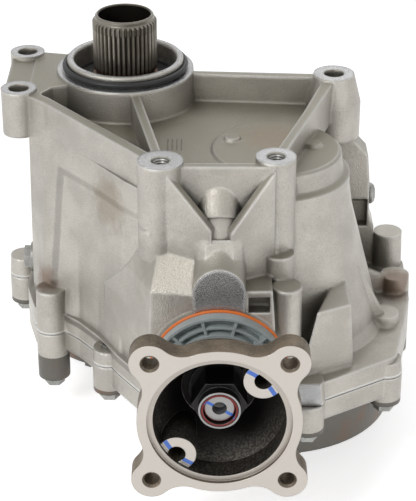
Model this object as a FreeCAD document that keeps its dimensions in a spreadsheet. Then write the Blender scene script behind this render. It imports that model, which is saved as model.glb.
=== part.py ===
import FreeCAD, Part
import Sketcher
import math
import os
import re

# Power transfer unit for a transverse drivetrain: a splined hollow input shaft, a pair of transfer
# gears, a ring gear with an offset bevel pinion, and an output flange at right angles to the input.
# Frame: origin on the input shaft's axis in the plane of the machined top bosses, +Z up along that
# axis, the output flange towards -Y, the transfer shaft at the right (+X) and towards the front.
# All lengths are in millimetres, all angles in degrees.

doc = FreeCAD.newDocument("power_transfer_unit")
sheet = doc.addObject("Spreadsheet::Sheet", "Sizes")

SIZES = {
    # gear train
    "gear_module": 3, "input_teeth": 39, "transfer_teeth": 51, "axis_angle": 41.4,
    "gear_width": 20, "gear_top_depth": 173, "tooth_clearance": 0.75, "tooth_backlash": 0.5,
    "pinion_teeth": 15, "ring_teeth": 41, "pinion_offset": 37.3, "pinion_depth": 129,
    "bevel_inner": 43, "bevel_outer": 61, "bevel_addendum": 1.7, "bevel_dedendum": 3.4,
    "bevel_backlash": 2.6, "ring_outer_radius": 72, "ring_bottom_depth": 166,
    "ring_bolt_circle": 40.5, "ring_bolt_radius": 4, "ring_bolt_count": 10, "ring_bolt_grip": 7,
    "ring_flange_thickness": 5.5,
    # general fits
    "running_gap": 0.08, "seat_gap": 0.03, "free_gap": 0.4,
    # planes of the casing
    "parting_depth": 156, "housing_flange": 14, "cover_flange": 14, "tray_depth": 22, "tray_floor": 8,
    "ridge_drop": 2, "rest_depth": 222, "cover_wall": 5, "cover_roof_depth": 200, "housing_wall": 6,
    "seal_line": 0.5, "left_wall": 64, "left_wall_foot": 65, "corner_y": 46, "corner_front_x": 52,
    "corner_front_y": 58, "box_front": 158, "box_back": 52, "box_back_width": 34, "tray_right_x": 126,
    "cast_rounding": 7, "flange_rounding": 10, "flange_lip": 11,
    "foot_corner_x": 58, "foot_corner_y": 86, "foot_knee_x": 30, "foot_knee_y": 103, "foot_waist_x": 16,
    "foot_waist_y": 121, "foot_hip_x": 2, "foot_hip_y": 147, "block_depth": 100, "shoulder_depth": 77,
    "hill_depth": 50, "ledge_depth": 74, "pillar_width": 33, "tower_bend_radius": 51.5,
    "tower_bend_y": 202.5, "tower_bend_depth": 26, "tower_low_end": 82, "tower_turn": 74, "tower_leg_depth": 76,
    "hump_radius": 15.7, "hump_y": 138, "hump_depth": 15,
    "hump_length": 31, "hump_slope": 54, "slope_rib_top": 4, "slope_rib_foot": 37.5, "slope_rib_foot_y": 172.5,
    "gusset_left_x": 115, "gusset_left_y": 178, "gusset_right_x": 148, "gusset_right_y": 161,
    "gusset_back_y": 130, "gusset_depth": 97, "bracket_right_x": 170.5, "bracket_back_y": 2,
    "bracket_thickness": 20, "bell_boss_x": 175.5, "bell_boss_y": 104, "bell_boss_top": 135, "bell_rib_x": 150, "bell_rib_y": 112,
    "bell_rib_depth": 83, "tapped_left_foot": 65, "tapped_right_foot": 62, "neck_radius": 50.7, "neck_depth": 58.5,
    "band_radius": 48.6, "nose_hood_y": 173, "hood_foot_depth": 67, "hood_top_depth": 44, "band_foot_depth": 44, "band_top_depth": 33,
    "left_pad_x": 73, "left_pad_y": 76.5, "right_pad_x": 126, "right_pad_y": 86, "pad_foot_radius": 6.5,
    "blind_boss_radius": 9.5, "blind_back_x": 101.5, "blind_back_y": 158, "blind_back_top": 61,
    "blind_front_x": 106.5, "blind_front_y": 174, "blind_front_top": 76,
    "bearing_race": 2.1, "bearing_taper": 12, "roller_inset": 1.2, "seal_case": 1.6,
    # input side
    "pilot_radius": 40, "pilot_height": 8, "pilot_bore_radius": 35.5, "pilot_boss_radius": 47,
    "o_ring_section": 2.1, "o_ring_groove_depth": 0.9, "o_ring_height": 2.9,
    "spline_teeth": 40, "spline_tip_radius": 22, "spline_root_radius": 20.3, "spline_top": 36.5,
    "spline_foot": 1, "input_rim_top": 39.5, "input_rim_radius": 20, "input_bore_radius": 17.8,
    "seal_top_depth": 6, "seal_width": 8, "seal_journal_radius": 23.5, "input_bearing_depth": 17,
    "input_bearing_width": 16, "input_bearing_inner": 22,
    "input_tube_radius": 21, "input_gear_seat": 24, "input_shoulder_radius": 28,
    "shoulder_width": 4, "lower_bearing_depth": 196, "lower_bearing_width": 14,
    "halfshaft_seal_depth": 211, "halfshaft_seal_radius": 33, "halfshaft_journal": 21.5,
    "input_shaft_end_depth": 220, "tunnel_wall": 7,
    # transfer shaft
    "transfer_top_depth": 29, "transfer_journal": 15, "transfer_bearing_radius": 26,
    "transfer_bearing_width": 17, "transfer_shaft_radius": 19, "transfer_seat_radius": 22,
    "transfer_lower_journal": 17, "transfer_lower_radius": 32, "disc_radius": 43, "disc_depth": 20,
    "step_radius": 48, "step_top_depth": 50, "step_foot_depth": 62, "cone_radius": 70.5,
    "cone_depth": 136, "bell_radius": 82, "bell_depth": 149, "bell_cavity_radius": 75.5,
    "shim_thickness": 1.2,
    # pinion and output flange, lengths along the pinion from the transfer axis outwards
    "head_bearing_start": 72.5, "head_bearing_width": 13, "head_journal": 15,
    "head_bearing_radius": 29, "spacer_width": 3.5, "tail_bearing_width": 11.5, "tail_bearing_radius": 27,
    "tail_journal": 13.5, "nose_face": 98.7, "nose_radius": 43.5, "nose_under_start": 66,
    "carrier_start": 87, "carrier_face": 108, "carrier_radius": 43, "carrier_plug_radius": 34,
    "carrier_inner_ring": 31, "hub_radius": 21, "hub_start": 101, "hub_seat": 117.2, "flange_face": 159.2,
    "flange_thickness": 14, "flange_radius": 50, "lobe_radius": 12.5, "lobe_spacing": 83,
    "flange_hole_radius": 4.5, "flange_chamfer": 1.4, "register_radius": 44, "register_depth": 2.5,
    "cup_radius": 40.4, "cup_foot_radius": 23.5, "cup_wall": 6, "fillet_radius": 16,
    "pad_circle": 37, "pad_radius": 12, "pad_recess": 5.5, "pad_hole_radius": 5.5,
    "nut_across_flats": 30, "nut_height": 20, "nut_collar_radius": 13, "nut_collar_height": 6.5,
    "nut_bore_radius": 10, "pinion_end": 143, "pinion_end_radius": 9.4, "pinion_centre_radius": 4.5,
    "washer_thickness": 2, "washer_radius": 19,
    "carrier_rib_count": 12, "carrier_rib_thickness": 1.8, "carrier_web_depth": 6,
    "trim_ring_section": 1.1,
    # top bosses
    "mount_hole_radius": 6.75, "mount_tap_radius": 5.1, "mount_tap_depth": 26,
    "left_boss_x": 70.5, "left_boss_back_y": 30, "left_boss_front_y": 37, "left_boss_radius": 12,
    "left_boss_depth": 32, "front_boss_y": 152, "front_boss_left_x": 27.5, "front_boss_right_x": 99,
    "front_boss_left_radius": 14.4, "front_boss_right_radius": 12.7, "right_boss_x": 143.4,
    "right_boss_y": 10.8, "right_boss_radius": 14, "right_boss_foot_radius": 19, "rib_thickness": 6,
    # casing bolts
    "bolt_radius": 4, "bolt_hole_gap": 0.3, "bolt_head_radius": 7.5, "bolt_head_height": 6.5,
    "bolt_boss_radius": 11, "bolt_reach": 11.5, "dowel_radius": 4, "dowel_length": 16,
    "fill_plug_radius": 8, "drain_plug_radius": 6, "plug_head": 10.5, "breather_cap_radius": 7.5, "breather_stem": 10,
}

# Casing bolts: place, height of the housing's boss above its foot, and depth of the cover's boss.
# The first stands at the front left corner, the rest follow the flange against the clock.
BOLTS = {
    "corner": (-50, -89, 125, 193), "front": (-9, -131, 146, 178), "nose": (121, -181, 140, 178),
    "gusset": (174, -145, 146, 178), "side": (187, -58, 131, 190), "right": (185, -20, 117, 178),
    "back": (138, 3, 142, 178), "rear": (66, 50, 142, 178), "tail": (2, 77, 142, 178),
    "heel": (-54, 54, 142, 178), "left": (-76, -8, 142, 178),
}
for place_name, numbers in BOLTS.items():
    for key, size in zip(("x", "y", "top", "foot"), numbers):
        SIZES[f"bolt_{place_name}_{key}"] = size

for row, (name, size) in enumerate(SIZES.items(), 1):
    sheet.set(f"A{row}", name)
    sheet.set(f"B{row}", str(size))
    sheet.setAlias(f"B{row}", name)
doc.recompute()

CELL = re.compile(r"[a-z][a-z_]*[a-z]")


def bound(formula):
    """A formula of size names, written so that the document's expressions can read it."""
    return CELL.sub(lambda word: f"Sizes.{word.group()}" if word.group() in SIZES else word.group(), str(formula))


def value(formula):
    """The number that a formula of size names gives now."""
    return float(sheet.evalExpression(bound(formula)))


# Places worked out from the driving sizes
CENTRES = "gear_module * (input_teeth + transfer_teeth) / 2"
TRANSFER_X = f"({CENTRES} * cos(axis_angle * 1 deg))"
TRANSFER_Y = f"(-{CENTRES} * sin(axis_angle * 1 deg))"
PINION_X = f"({TRANSFER_X} - pinion_offset)"
INPUT_TIP = "(gear_module * (input_teeth / 2 + 1))"
TRANSFER_TIP = "(gear_module * (transfer_teeth / 2 + 1))"
GEAR_BOTTOM = "(gear_top_depth + gear_width)"
TAIL_START = "(head_bearing_start + head_bearing_width + spacer_width)"
FRONT_BOSS_Y = "(-front_boss_y)"


def place(item, x=0, y=0, z=0):
    """Bind an object's place to formulas."""
    for axis, formula in (("x", x), ("y", y), ("z", z)):
        item.setExpression(f"Placement.Base.{axis}", bound(formula))
    return item


def cylinder(name, x, y, low, high, radius):
    """Upright cylinder between two heights."""
    item = doc.addObject("Part::Cylinder", name)
    item.setExpression("Radius", bound(radius))
    item.setExpression("Height", bound(f"({high}) - ({low})"))
    return place(item, x, y, low)


def cone(name, x, y, low, high, radius_low, radius_high):
    """Upright cone frustum between two heights."""
    item = doc.addObject("Part::Cone", name)
    item.setExpression("Radius1", bound(radius_low))
    item.setExpression("Radius2", bound(radius_high))
    item.setExpression("Height", bound(f"({high}) - ({low})"))
    return place(item, x, y, low)


def along_pinion(item, start, x=0, z=0):
    """Turn an upright object so that it lies along the pinion, starting at a distance from the ring axis."""
    item.Placement.Rotation = FreeCAD.Rotation(FreeCAD.Vector(1, 0, 0), 90)
    return place(item, f"{PINION_X} + ({x})", f"{TRANSFER_Y} - ({start})", f"({z}) - pinion_depth")


def pinion_cylinder(name, start, end, radius, x=0, z=0):
    """Cylinder lying along the pinion."""
    return along_pinion(cylinder(name, 0, 0, 0, f"({end}) - ({start})", radius), start, x, z)


def pinion_cone(name, start, end, radius_start, radius_end):
    """Cone frustum lying along the pinion."""
    return along_pinion(cone(name, 0, 0, 0, f"({end}) - ({start})", radius_start, radius_end), start)


def box(name, x, y, z, length, width, height):
    """Box from its lowest corner."""
    item = doc.addObject("Part::Box", name)
    for side, formula in (("Length", length), ("Width", width), ("Height", height)):
        item.setExpression(side, bound(formula))
    return place(item, x, y, z)


def fused(name, *pieces):
    """Several objects joined into one."""
    item = doc.addObject("Part::MultiFuse", name)
    item.Shapes = list(pieces)
    return item


def cut(name, base, *tools):
    """A base with the tools taken away."""
    item = doc.addObject("Part::Cut", name)
    item.Base = base
    item.Tool = tools[0] if len(tools) == 1 else fused(name + "_tools", *tools)
    return item


def add_corners(sketch, corners):
    """Closed outline whose every corner is held by two bound distances from the sketch's origin."""
    points = [FreeCAD.Vector(value(x), value(y), 0) for x, y in corners]
    count = len(points)
    for index in range(count):
        sketch.addGeometry(Part.LineSegment(points[index], points[(index + 1) % count]))
    for index in range(count):
        sketch.addConstraint(Sketcher.Constraint("Coincident", index, 2, (index + 1) % count, 1))
    for index, formulas in enumerate(corners):
        for kind, formula in zip(("DistanceX", "DistanceY"), formulas):
            held = sketch.addConstraint(Sketcher.Constraint(kind, -1, 1, index, 1, value(formula)))
            sketch.setExpression(f"Constraints[{held}]", bound(formula))


def body_sketch(body, role, corners, height=0):
    """Sketch on one of a body's own origin planes."""
    sketch = body.newObject("Sketcher::SketchObject", body.Name + "_outline")
    plane = next(feature for feature in body.Origin.OriginFeatures if feature.Role == role)
    sketch.AttachmentSupport = [(plane, "")]
    sketch.MapMode = "FlatFace"
    sketch.setExpression("AttachmentOffset.Base.z", bound(height))
    add_corners(sketch, corners)
    return sketch


def rounded(body, feature, radius):
    """Round the upright edges of a padded or lofted feature."""
    doc.recompute()
    edges = []
    for index, edge in enumerate(feature.Shape.Edges, 1):
        ends = [vertex.Point for vertex in edge.Vertexes]
        if abs(ends[0].z - ends[1].z) > 0.4:
            edges.append(f"Edge{index}")
    fillet = body.newObject("PartDesign::Fillet", body.Name + "_rounding")
    fillet.Base = (feature, edges)
    fillet.setExpression("Radius", bound(radius))


def padded(name, corners, low, high, radius=None):
    """Upright slab over a polygon, with its upright edges rounded where a radius is given."""
    body = doc.addObject("PartDesign::Body", name)
    pad = body.newObject("PartDesign::Pad", name + "_pad")
    pad.Profile = body_sketch(body, "XY_Plane", corners, low)
    pad.setExpression("Length", bound(f"({high}) - ({low})"))
    if radius:
        rounded(body, pad, radius)
    return body


def lofted(name, lower, upper, low, high, radius=None):
    """Drafted block between a lower and an upper polygon."""
    body = doc.addObject("PartDesign::Body", name)
    loft = body.newObject("PartDesign::AdditiveLoft", name + "_loft")
    loft.Profile = body_sketch(body, "XY_Plane", lower, low)
    loft.Sections = [body_sketch(body, "XY_Plane", upper, high)]
    loft.Ruled = True
    if radius:
        rounded(body, loft, radius)
    return body


def turned(name, profile):
    """Solid of revolution about its own upright axis, from corners given as radius and height."""
    body = doc.addObject("PartDesign::Body", name)
    sketch = body_sketch(body, "XZ_Plane", profile)
    turn = body.newObject("PartDesign::Revolution", name + "_turn")
    turn.Profile = sketch
    turn.ReferenceAxis = (sketch, ["V_Axis"])
    turn.Angle = 360
    return body


def ring(name, inner, outer, low, high):
    """Plain turned ring."""
    return turned(name, [(inner, low), (outer, low), (outer, high), (inner, high)])


def shaped(name, shape):
    """Object whose shape is worked out in this file from the sheet's values."""
    item = doc.addObject("Part::Feature", name)
    item.Shape = shape
    return item


parts = {}


def finish(label, item):
    """Give a finished sub-part the label that names its file."""
    item.Label = label
    parts[label] = item
    return item


# Gears
def spur_outline(teeth, half_gap):
    """Corners of a spur gear's outline: root, pitch and tip points of each flank, one tooth after another."""
    module = value("gear_module")
    pitch = module * teeth / 2
    tip = pitch + module
    root = pitch - module - value("tooth_clearance")
    base = pitch * math.cos(math.radians(20))

    def flank_angle(radius):
        """Half the angle of a tooth at a radius, by the involute through the pitch point."""
        if radius <= base:
            return flank_angle(base + 1e-6)
        pressure = math.acos(base / radius)
        involute = math.tan(pressure) - pressure
        pitch_involute = math.tan(math.radians(20)) - math.radians(20)
        half_tooth = (math.pi * module / 2 - half_gap) / 2 / pitch
        return half_tooth + pitch_involute - involute

    points = []
    radii = (root, pitch - module / 2, pitch, pitch + module / 2, tip)
    for tooth in range(teeth):
        middle = 2 * math.pi * tooth / teeth
        for side, flank in ((-1, radii), (1, radii[::-1])):
            for radius in flank:
                angle = middle + side * flank_angle(radius)
                points.append(FreeCAD.Vector(radius * math.cos(angle), radius * math.sin(angle), 0))
    return points


def spur_gear(name, teeth_cell, bore, x, y, start_angle):
    """Spur gear blank with a bore and a lightening groove in both faces."""
    teeth = int(value(teeth_cell))
    corners = spur_outline(teeth, value("tooth_backlash"))
    face = Part.Face(Part.makePolygon(corners + corners[:1]))
    width = value("gear_width")
    solid = face.extrude(FreeCAD.Vector(0, 0, width))
    rim = value("gear_module") * (teeth / 2 - 4)
    hub = value(bore) + 8
    web = width / 4
    for low in (0, width - web):
        groove = Part.makeCylinder(rim, web, FreeCAD.Vector(0, 0, low))
        groove = groove.cut(Part.makeCylinder(hub, web, FreeCAD.Vector(0, 0, low)))
        solid = solid.cut(groove)
    solid = solid.cut(Part.makeCylinder(value(bore), width))
    solid.rotate(FreeCAD.Vector(), FreeCAD.Vector(0, 0, 1), start_angle)
    return place(shaped(name, solid), x, y, f"-{GEAR_BOTTOM}")


line_angle = -value("axis_angle")
input_gear = spur_gear("input_gear", "input_teeth", "input_gear_seat + seat_gap", 0, 0, line_angle)
half_pitch = 180 / value("transfer_teeth")
transfer_gear = spur_gear("transfer_gear", "transfer_teeth", "transfer_seat_radius + seat_gap",
                          TRANSFER_X, TRANSFER_Y, 180 + line_angle + half_pitch)
finish("input_gear", input_gear)
finish("transfer_gear", transfer_gear)


def bevel_section(distance, slope, count, addendum, dedendum, scale):
    """Corners of the bevel pinion's section at a distance along its axis."""
    pitch = distance * slope
    points = []
    pitch_angle = math.pi / count
    for tooth in range(count):
        middle = 2 * math.pi * tooth / count - math.pi / 2
        half = (math.pi * pitch / count - value("bevel_backlash") * scale / 2) / 2 / pitch
        root = pitch - dedendum * scale
        tip = pitch + addendum * scale
        mid = pitch + addendum * scale / 2
        for radius, share in ((root, 1.32), (pitch, 1.0), (mid, 0.70), (tip, 0.40)):
            angle = middle - min(half * share, pitch_angle * 0.9)
            points.append(FreeCAD.Vector(radius * math.cos(angle), radius * math.sin(angle), distance))
        for radius, share in ((tip, 0.40), (mid, 0.70), (pitch, 1.0), (root, 1.32)):
            angle = middle + min(half * share, pitch_angle * 0.9)
            points.append(FreeCAD.Vector(radius * math.cos(angle), radius * math.sin(angle), distance))
    return points


slope = value("pinion_teeth") / value("ring_teeth")
inner = value("bevel_inner")
outer = value("bevel_outer")
pinion_count = int(value("pinion_teeth"))
sections = []
for distance in (inner, outer):
    corners = bevel_section(distance, slope, pinion_count, value("bevel_addendum"),
                            value("bevel_dedendum"), distance / outer)
    sections.append(Part.makePolygon(corners + corners[:1]))
pinion_head = Part.makeLoft(sections, True, True)
head = along_pinion(shaped("pinion_head", pinion_head), 0)
pinion_stem = turned("pinion_stem", [
    (0, "bevel_outer - 1"), ("bevel_outer * pinion_teeth / ring_teeth - bevel_dedendum", "bevel_outer - 1"),
    ("bevel_outer * pinion_teeth / ring_teeth - bevel_dedendum", "head_bearing_start"),
    ("head_journal", "head_bearing_start"), ("head_journal", f"{TAIL_START} - spacer_width"),
    ("tail_journal", f"{TAIL_START} - spacer_width"), ("tail_journal", "hub_start"),
    ("nut_bore_radius + 2", "hub_start"), ("nut_bore_radius + 2", "hub_seat - 1"),
    ("nut_bore_radius - seat_gap", "hub_seat - 1"), ("nut_bore_radius - seat_gap", "pinion_end - 3"),
    ("pinion_end_radius", "pinion_end - 2"), ("pinion_end_radius", "pinion_end"),
    ("pinion_centre_radius", "pinion_end"), ("pinion_centre_radius", "pinion_end - 8"), (0, "pinion_end - 12"),
])
stem = along_pinion(pinion_stem, 0)
finish("pinion", fused("pinion_whole", head, stem))


def ring_tooth():
    """One ring gear tooth: a ridge with sloping flanks that follows the pinion's line and falls outwards."""
    pitch_ratio = math.pi / pinion_count
    wires = []
    for distance in (inner, outer):
        scale = distance / outer
        half = (pitch_ratio * distance * slope - value("bevel_backlash") * scale / 2) / 2
        foot = -distance * slope - value("bevel_dedendum") * scale
        top = -distance * slope + value("bevel_addendum") * scale
        lean = math.tan(math.radians(20))
        sizes = ((half + (foot + distance * slope) * -lean, foot - 2), (half + (foot + distance * slope) * -lean, foot),
                 (half - (top + distance * slope) * lean, top))
        points = [FreeCAD.Vector(width, -distance, height) for width, height in sizes]
        points += [FreeCAD.Vector(-width, -distance, height) for width, height in sizes[::-1]]
        wires.append(Part.makePolygon(points + points[:1]))
    tooth = Part.makeLoft(wires, True, True)
    tooth.translate(FreeCAD.Vector(-value("pinion_offset"), 0, -value("pinion_depth")))
    return tooth


def ring_gear_shape():
    """Ring gear: a coned ring with its teeth, a flat web for the bolts, and the bolt holes."""
    offset = value("pinion_offset")
    depth = value("pinion_depth")
    dedendum = value("bevel_dedendum")
    small = math.hypot(offset, inner)
    bottom = -value("ring_bottom_depth")
    bore = value("transfer_shaft_radius + seat_gap + 10")
    root_inner = -depth - inner * slope - dedendum * inner / outer
    root_outer = -depth - outer * slope - dedendum
    profile = [(bore, bottom), (value("ring_outer_radius"), bottom), (value("ring_outer_radius"), root_outer),
               (small, root_inner), (small - 3, root_inner), (small - 3, bottom + value("ring_bolt_grip")),
               (bore, bottom + value("ring_bolt_grip"))]
    points = [FreeCAD.Vector(radius, 0, height) for radius, height in profile]
    blank = Part.Face(Part.makePolygon(points + points[:1])).revolve(FreeCAD.Vector(), FreeCAD.Vector(0, 0, 1), 360)
    count = int(value("ring_teeth"))
    shell = Part.makeCylinder(value("ring_outer_radius"), 60, FreeCAD.Vector(0, 0, bottom))
    teeth = []
    for index in range(count):
        tooth = ring_tooth()
        tooth.rotate(FreeCAD.Vector(), FreeCAD.Vector(0, 0, 1), 360 * (index + 0.5) / count)
        teeth.append(tooth.common(shell))
    solid = blank.fuse(teeth)
    for index in range(int(value("ring_bolt_count"))):
        hole = Part.makeCylinder(value("ring_bolt_radius + bolt_hole_gap"), 40,
                                 FreeCAD.Vector(value("ring_bolt_circle"), 0, bottom - 5))
        hole.rotate(FreeCAD.Vector(), FreeCAD.Vector(0, 0, 1), 360 * index / value("ring_bolt_count"))
        solid = solid.cut(hole)
    return solid.removeSplitter()


finish("ring_gear", place(shaped("ring_gear_part", ring_gear_shape()), TRANSFER_X, TRANSFER_Y, 0))


# Rolling bearings
def bearing(name, start, width, inner, outer_radius, x, y, widens, lay_down=False):
    """Taper roller bearing: an outer ring, and an inner ring that carries its rollers.

    Both raceways rise by the same taper, towards the far end where widens is 1 and towards the start
    where it is -1.
    """
    race = "bearing_race"
    rise = f"(({width}) * tan(bearing_taper * 1 deg))"
    low_rise = "0" if widens > 0 else rise
    high_rise = rise if widens > 0 else "0"
    cup_inner = f"(({outer_radius}) - {race} - {rise})"
    cup = turned(name + "_cup_ring", [
        (f"{cup_inner} + {low_rise}", 0), (f"({outer_radius}) - seat_gap", 0),
        (f"({outer_radius}) - seat_gap", width), (f"{cup_inner} + {high_rise}", width)])
    cone_ring = turned(name + "_inner_ring", [
        (f"({inner}) + seat_gap", 0), (f"({inner}) + {race} + {low_rise}", 0),
        (f"({inner}) + {race} + {high_rise}", width), (f"({inner}) + seat_gap", width)])
    taper = math.radians(value("bearing_taper"))
    gap = value(f"{cup_inner} - ({inner}) - {race}") * math.cos(taper)
    roller = gap / 2 - value("running_gap")
    length = (value(width) - 2 * value("roller_inset")) / math.cos(taper)
    low = value("roller_inset")
    centre = value(f"({inner}) + {race} + {low_rise}") + gap / 2 / math.cos(taper)
    centre += widens * low * math.tan(taper)
    count = int(2 * math.pi * centre / (2.5 * roller))
    rollers = []
    for index in range(count):
        solid = Part.makeCylinder(roller, length, FreeCAD.Vector(centre, 0, low),
                                  FreeCAD.Vector(widens * math.sin(taper), 0, math.cos(taper)))
        solid.rotate(FreeCAD.Vector(), FreeCAD.Vector(0, 0, 1), 360 * index / count)
        rollers.append(solid)
    roller_set = shaped(name + "_roller_set", Part.makeCompound(rollers))
    for item in (cup, cone_ring, roller_set):
        if lay_down:
            along_pinion(item, start)
        else:
            place(item, x, y, start)
    group = doc.addObject("Part::Compound", name + "_inner_group")
    group.Links = [cone_ring, roller_set]
    finish(name + "_cup", cup)
    finish(name + "_cone", group)


bearing("input_upper_bearing", "-input_bearing_depth - input_bearing_width", "input_bearing_width",
        "input_bearing_inner", "pilot_bore_radius", 0, 0, 1)
bearing("input_lower_bearing", "-lower_bearing_depth - lower_bearing_width", "lower_bearing_width",
        "input_bearing_inner", "pilot_bore_radius", 0, 0, -1)
bearing("transfer_upper_bearing", "-transfer_top_depth - transfer_bearing_width", "transfer_bearing_width",
        "transfer_journal", "transfer_bearing_radius", TRANSFER_X, TRANSFER_Y, 1)
bearing("transfer_lower_bearing", "-lower_bearing_depth - lower_bearing_width", "lower_bearing_width",
        "transfer_lower_journal", "transfer_lower_radius", TRANSFER_X, TRANSFER_Y, -1)
bearing("pinion_head_bearing", "head_bearing_start", "head_bearing_width", "head_journal",
        "head_bearing_radius", 0, 0, -1, True)
bearing("pinion_tail_bearing", TAIL_START, "tail_bearing_width", "tail_journal",
        "tail_bearing_radius", 0, 0, 1, True)


def lip_seal(name, low, width, lip, outer_radius):
    """Shaft seal: a pressed case with a thinner lip that reaches in to the shaft."""
    return turned(name, [
        (f"({outer_radius}) - seat_gap", low), (f"({outer_radius}) - seat_gap", f"({low}) + ({width})"),
        (f"({outer_radius}) - seal_case", f"({low}) + ({width})"),
        (f"({outer_radius}) - seal_case", f"({low}) + ({width}) - seal_case / 2"),
        (f"({lip}) + seal_case", f"({low}) + ({width}) - seal_case"),
        (f"({lip}) + running_gap", f"({low}) + ({width}) - seal_case / 3"),
        (f"({lip}) + running_gap", f"({low}) + ({width}) / 2 - seal_case"),
        (f"({lip}) + seal_case", f"({low}) + ({width}) / 2 - seal_case / 2"),
        (f"({outer_radius}) - seal_case", f"({low}) + ({width}) / 2"), (f"({outer_radius}) - seal_case", low)])


# Input shaft: hollow, splined at the top, with seats for its seal, bearings and gear
def spline_teeth():
    """Straight-sided spline teeth as one toothed prism, from the spline's foot to its top."""
    teeth = int(value("spline_teeth"))
    pitch = 2 * math.pi / teeth
    flanks = ((value("spline_root_radius"), 0.40), (value("spline_tip_radius"), 0.16))
    points = []
    for tooth in range(teeth):
        for radius, share in ((flanks[0][0], -0.40), (flanks[1][0], -0.16), (flanks[1][0], 0.16), (flanks[0][0], 0.40)):
            angle = pitch * (tooth + share)
            points.append(FreeCAD.Vector(radius * math.cos(angle), radius * math.sin(angle), 0))
    face = Part.Face(Part.makePolygon(points + points[:1]))
    return face.extrude(FreeCAD.Vector(0, 0, value("spline_top - spline_foot")))


teeth_prism = place(shaped("spline_prism", spline_teeth()), 0, 0, "spline_foot")
teeth_blank = turned("spline_blank", [
    (0, "spline_foot"), ("spline_tip_radius + 1", "spline_foot"), ("spline_tip_radius + 1", "spline_top - 2.5"),
    ("spline_root_radius - 0.5", "spline_top"), (0, "spline_top")])
spline = doc.addObject("Part::Common", "spline")
spline.Base = teeth_prism
spline.Tool = teeth_blank
shaft_blank = turned("input_shaft_blank", [
    (0, "-input_shaft_end_depth"), ("halfshaft_journal", "-input_shaft_end_depth"),
    ("halfshaft_journal", "-lower_bearing_depth - lower_bearing_width - 1"),
    ("input_bearing_inner", "-lower_bearing_depth - lower_bearing_width - 1"),
    ("input_bearing_inner", f"-{GEAR_BOTTOM}"), ("input_gear_seat", f"-{GEAR_BOTTOM}"),
    ("input_gear_seat", "-gear_top_depth"), ("input_shoulder_radius", "-gear_top_depth"),
    ("input_shoulder_radius", "shoulder_width - gear_top_depth"),
    ("input_tube_radius", "2 * shoulder_width - gear_top_depth"),
    ("input_tube_radius", "-input_bearing_depth - input_bearing_width - 2 * shoulder_width"),
    ("input_bearing_inner + shoulder_width", "-input_bearing_depth - input_bearing_width - shoulder_width"),
    ("input_bearing_inner + shoulder_width", "-input_bearing_depth - input_bearing_width"),
    ("input_bearing_inner", "-input_bearing_depth - input_bearing_width"),
    ("input_bearing_inner", "1 - input_bearing_depth"), ("seal_journal_radius", "1 - input_bearing_depth"),
    ("seal_journal_radius", "1 - seal_top_depth"), ("seal_journal_radius - 1", "2 - seal_top_depth"),
    ("spline_root_radius", "2 - seal_top_depth"), ("spline_root_radius", "spline_top - 0.5"),
    ("input_rim_radius", "spline_top"), ("input_rim_radius", "input_rim_top - 1"),
    ("input_rim_radius - 1", "input_rim_top"), (0, "input_rim_top")])
shaft_bore = turned("input_shaft_bore", [
    (0, "-input_shaft_end_depth - 1"), ("input_bore_radius", "-input_shaft_end_depth - 1"),
    ("input_bore_radius", "input_rim_top - 1"), ("input_bore_radius + 1.5", "input_rim_top + 0.5"),
    (0, "input_rim_top + 0.5")])
finish("input_shaft", cut("input_shaft_part", fused("input_shaft_solid", shaft_blank, spline), shaft_bore))
finish("input_gear_spacer", ring("input_spacer_ring", "input_bearing_inner + seat_gap", "input_shoulder_radius",
                                 "-lower_bearing_depth + seat_gap", f"-{GEAR_BOTTOM} - seat_gap"))
finish("input_seal", lip_seal("input_lip_seal", "-seal_top_depth - seal_width", "seal_width",
                              "seal_journal_radius", "pilot_bore_radius"))
finish("halfshaft_seal", lip_seal("halfshaft_lip_seal", "-halfshaft_seal_depth - seal_width", "seal_width",
                                  "halfshaft_journal", "halfshaft_seal_radius"))
o_ring = doc.addObject("Part::Torus", "pilot_o_ring_torus")
o_ring.setExpression("Radius1", bound("pilot_radius - o_ring_groove_depth + o_ring_section + running_gap"))
o_ring.setExpression("Radius2", bound("o_ring_section"))
finish("pilot_o_ring", place(o_ring, 0, 0, "o_ring_height"))

# Transfer shaft, its spacer, the shim over its upper bearing, and the ring gear's bolts
transfer_shaft = turned("transfer_shaft_turned", [
    (0, "-lower_bearing_depth - lower_bearing_width - 1"),
    ("transfer_lower_journal", "-lower_bearing_depth - lower_bearing_width - 1"),
    ("transfer_lower_journal", f"-{GEAR_BOTTOM}"), ("transfer_seat_radius", f"-{GEAR_BOTTOM}"),
    ("transfer_seat_radius", "-ring_bottom_depth - ring_flange_thickness"),
    ("ring_bolt_circle + 8", "-ring_bottom_depth - ring_flange_thickness"),
    ("ring_bolt_circle + 8", "-ring_bottom_depth"), ("transfer_shaft_radius + 10", "-ring_bottom_depth"),
    ("transfer_shaft_radius + 10", "ring_bolt_grip - ring_bottom_depth"),
    ("transfer_shaft_radius", "ring_bolt_grip - ring_bottom_depth + 12"),
    ("transfer_shaft_radius", "-transfer_top_depth - transfer_bearing_width"),
    ("transfer_journal", "-transfer_top_depth - transfer_bearing_width"),
    ("transfer_journal", "-transfer_top_depth - 1"), ("transfer_journal - 1", "-transfer_top_depth"),
    (0, "-transfer_top_depth")])
place(transfer_shaft, TRANSFER_X, TRANSFER_Y, 0)
flange_holes = []
bolt_count = int(value("ring_bolt_count"))
for index in range(bolt_count):
    turn = f"{360 * index / bolt_count} deg"
    hole_x = f"{TRANSFER_X} + ring_bolt_circle * cos({turn})"
    hole_y = f"{TRANSFER_Y} + ring_bolt_circle * sin({turn})"
    flange_holes.append(cylinder(f"flange_hole_{index}", hole_x, hole_y,
                                 "-ring_bottom_depth - ring_flange_thickness - 1", "1 - ring_bottom_depth",
                                 "ring_bolt_radius + seat_gap"))
finish("transfer_shaft", cut("transfer_shaft_part", transfer_shaft, *flange_holes))
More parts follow.
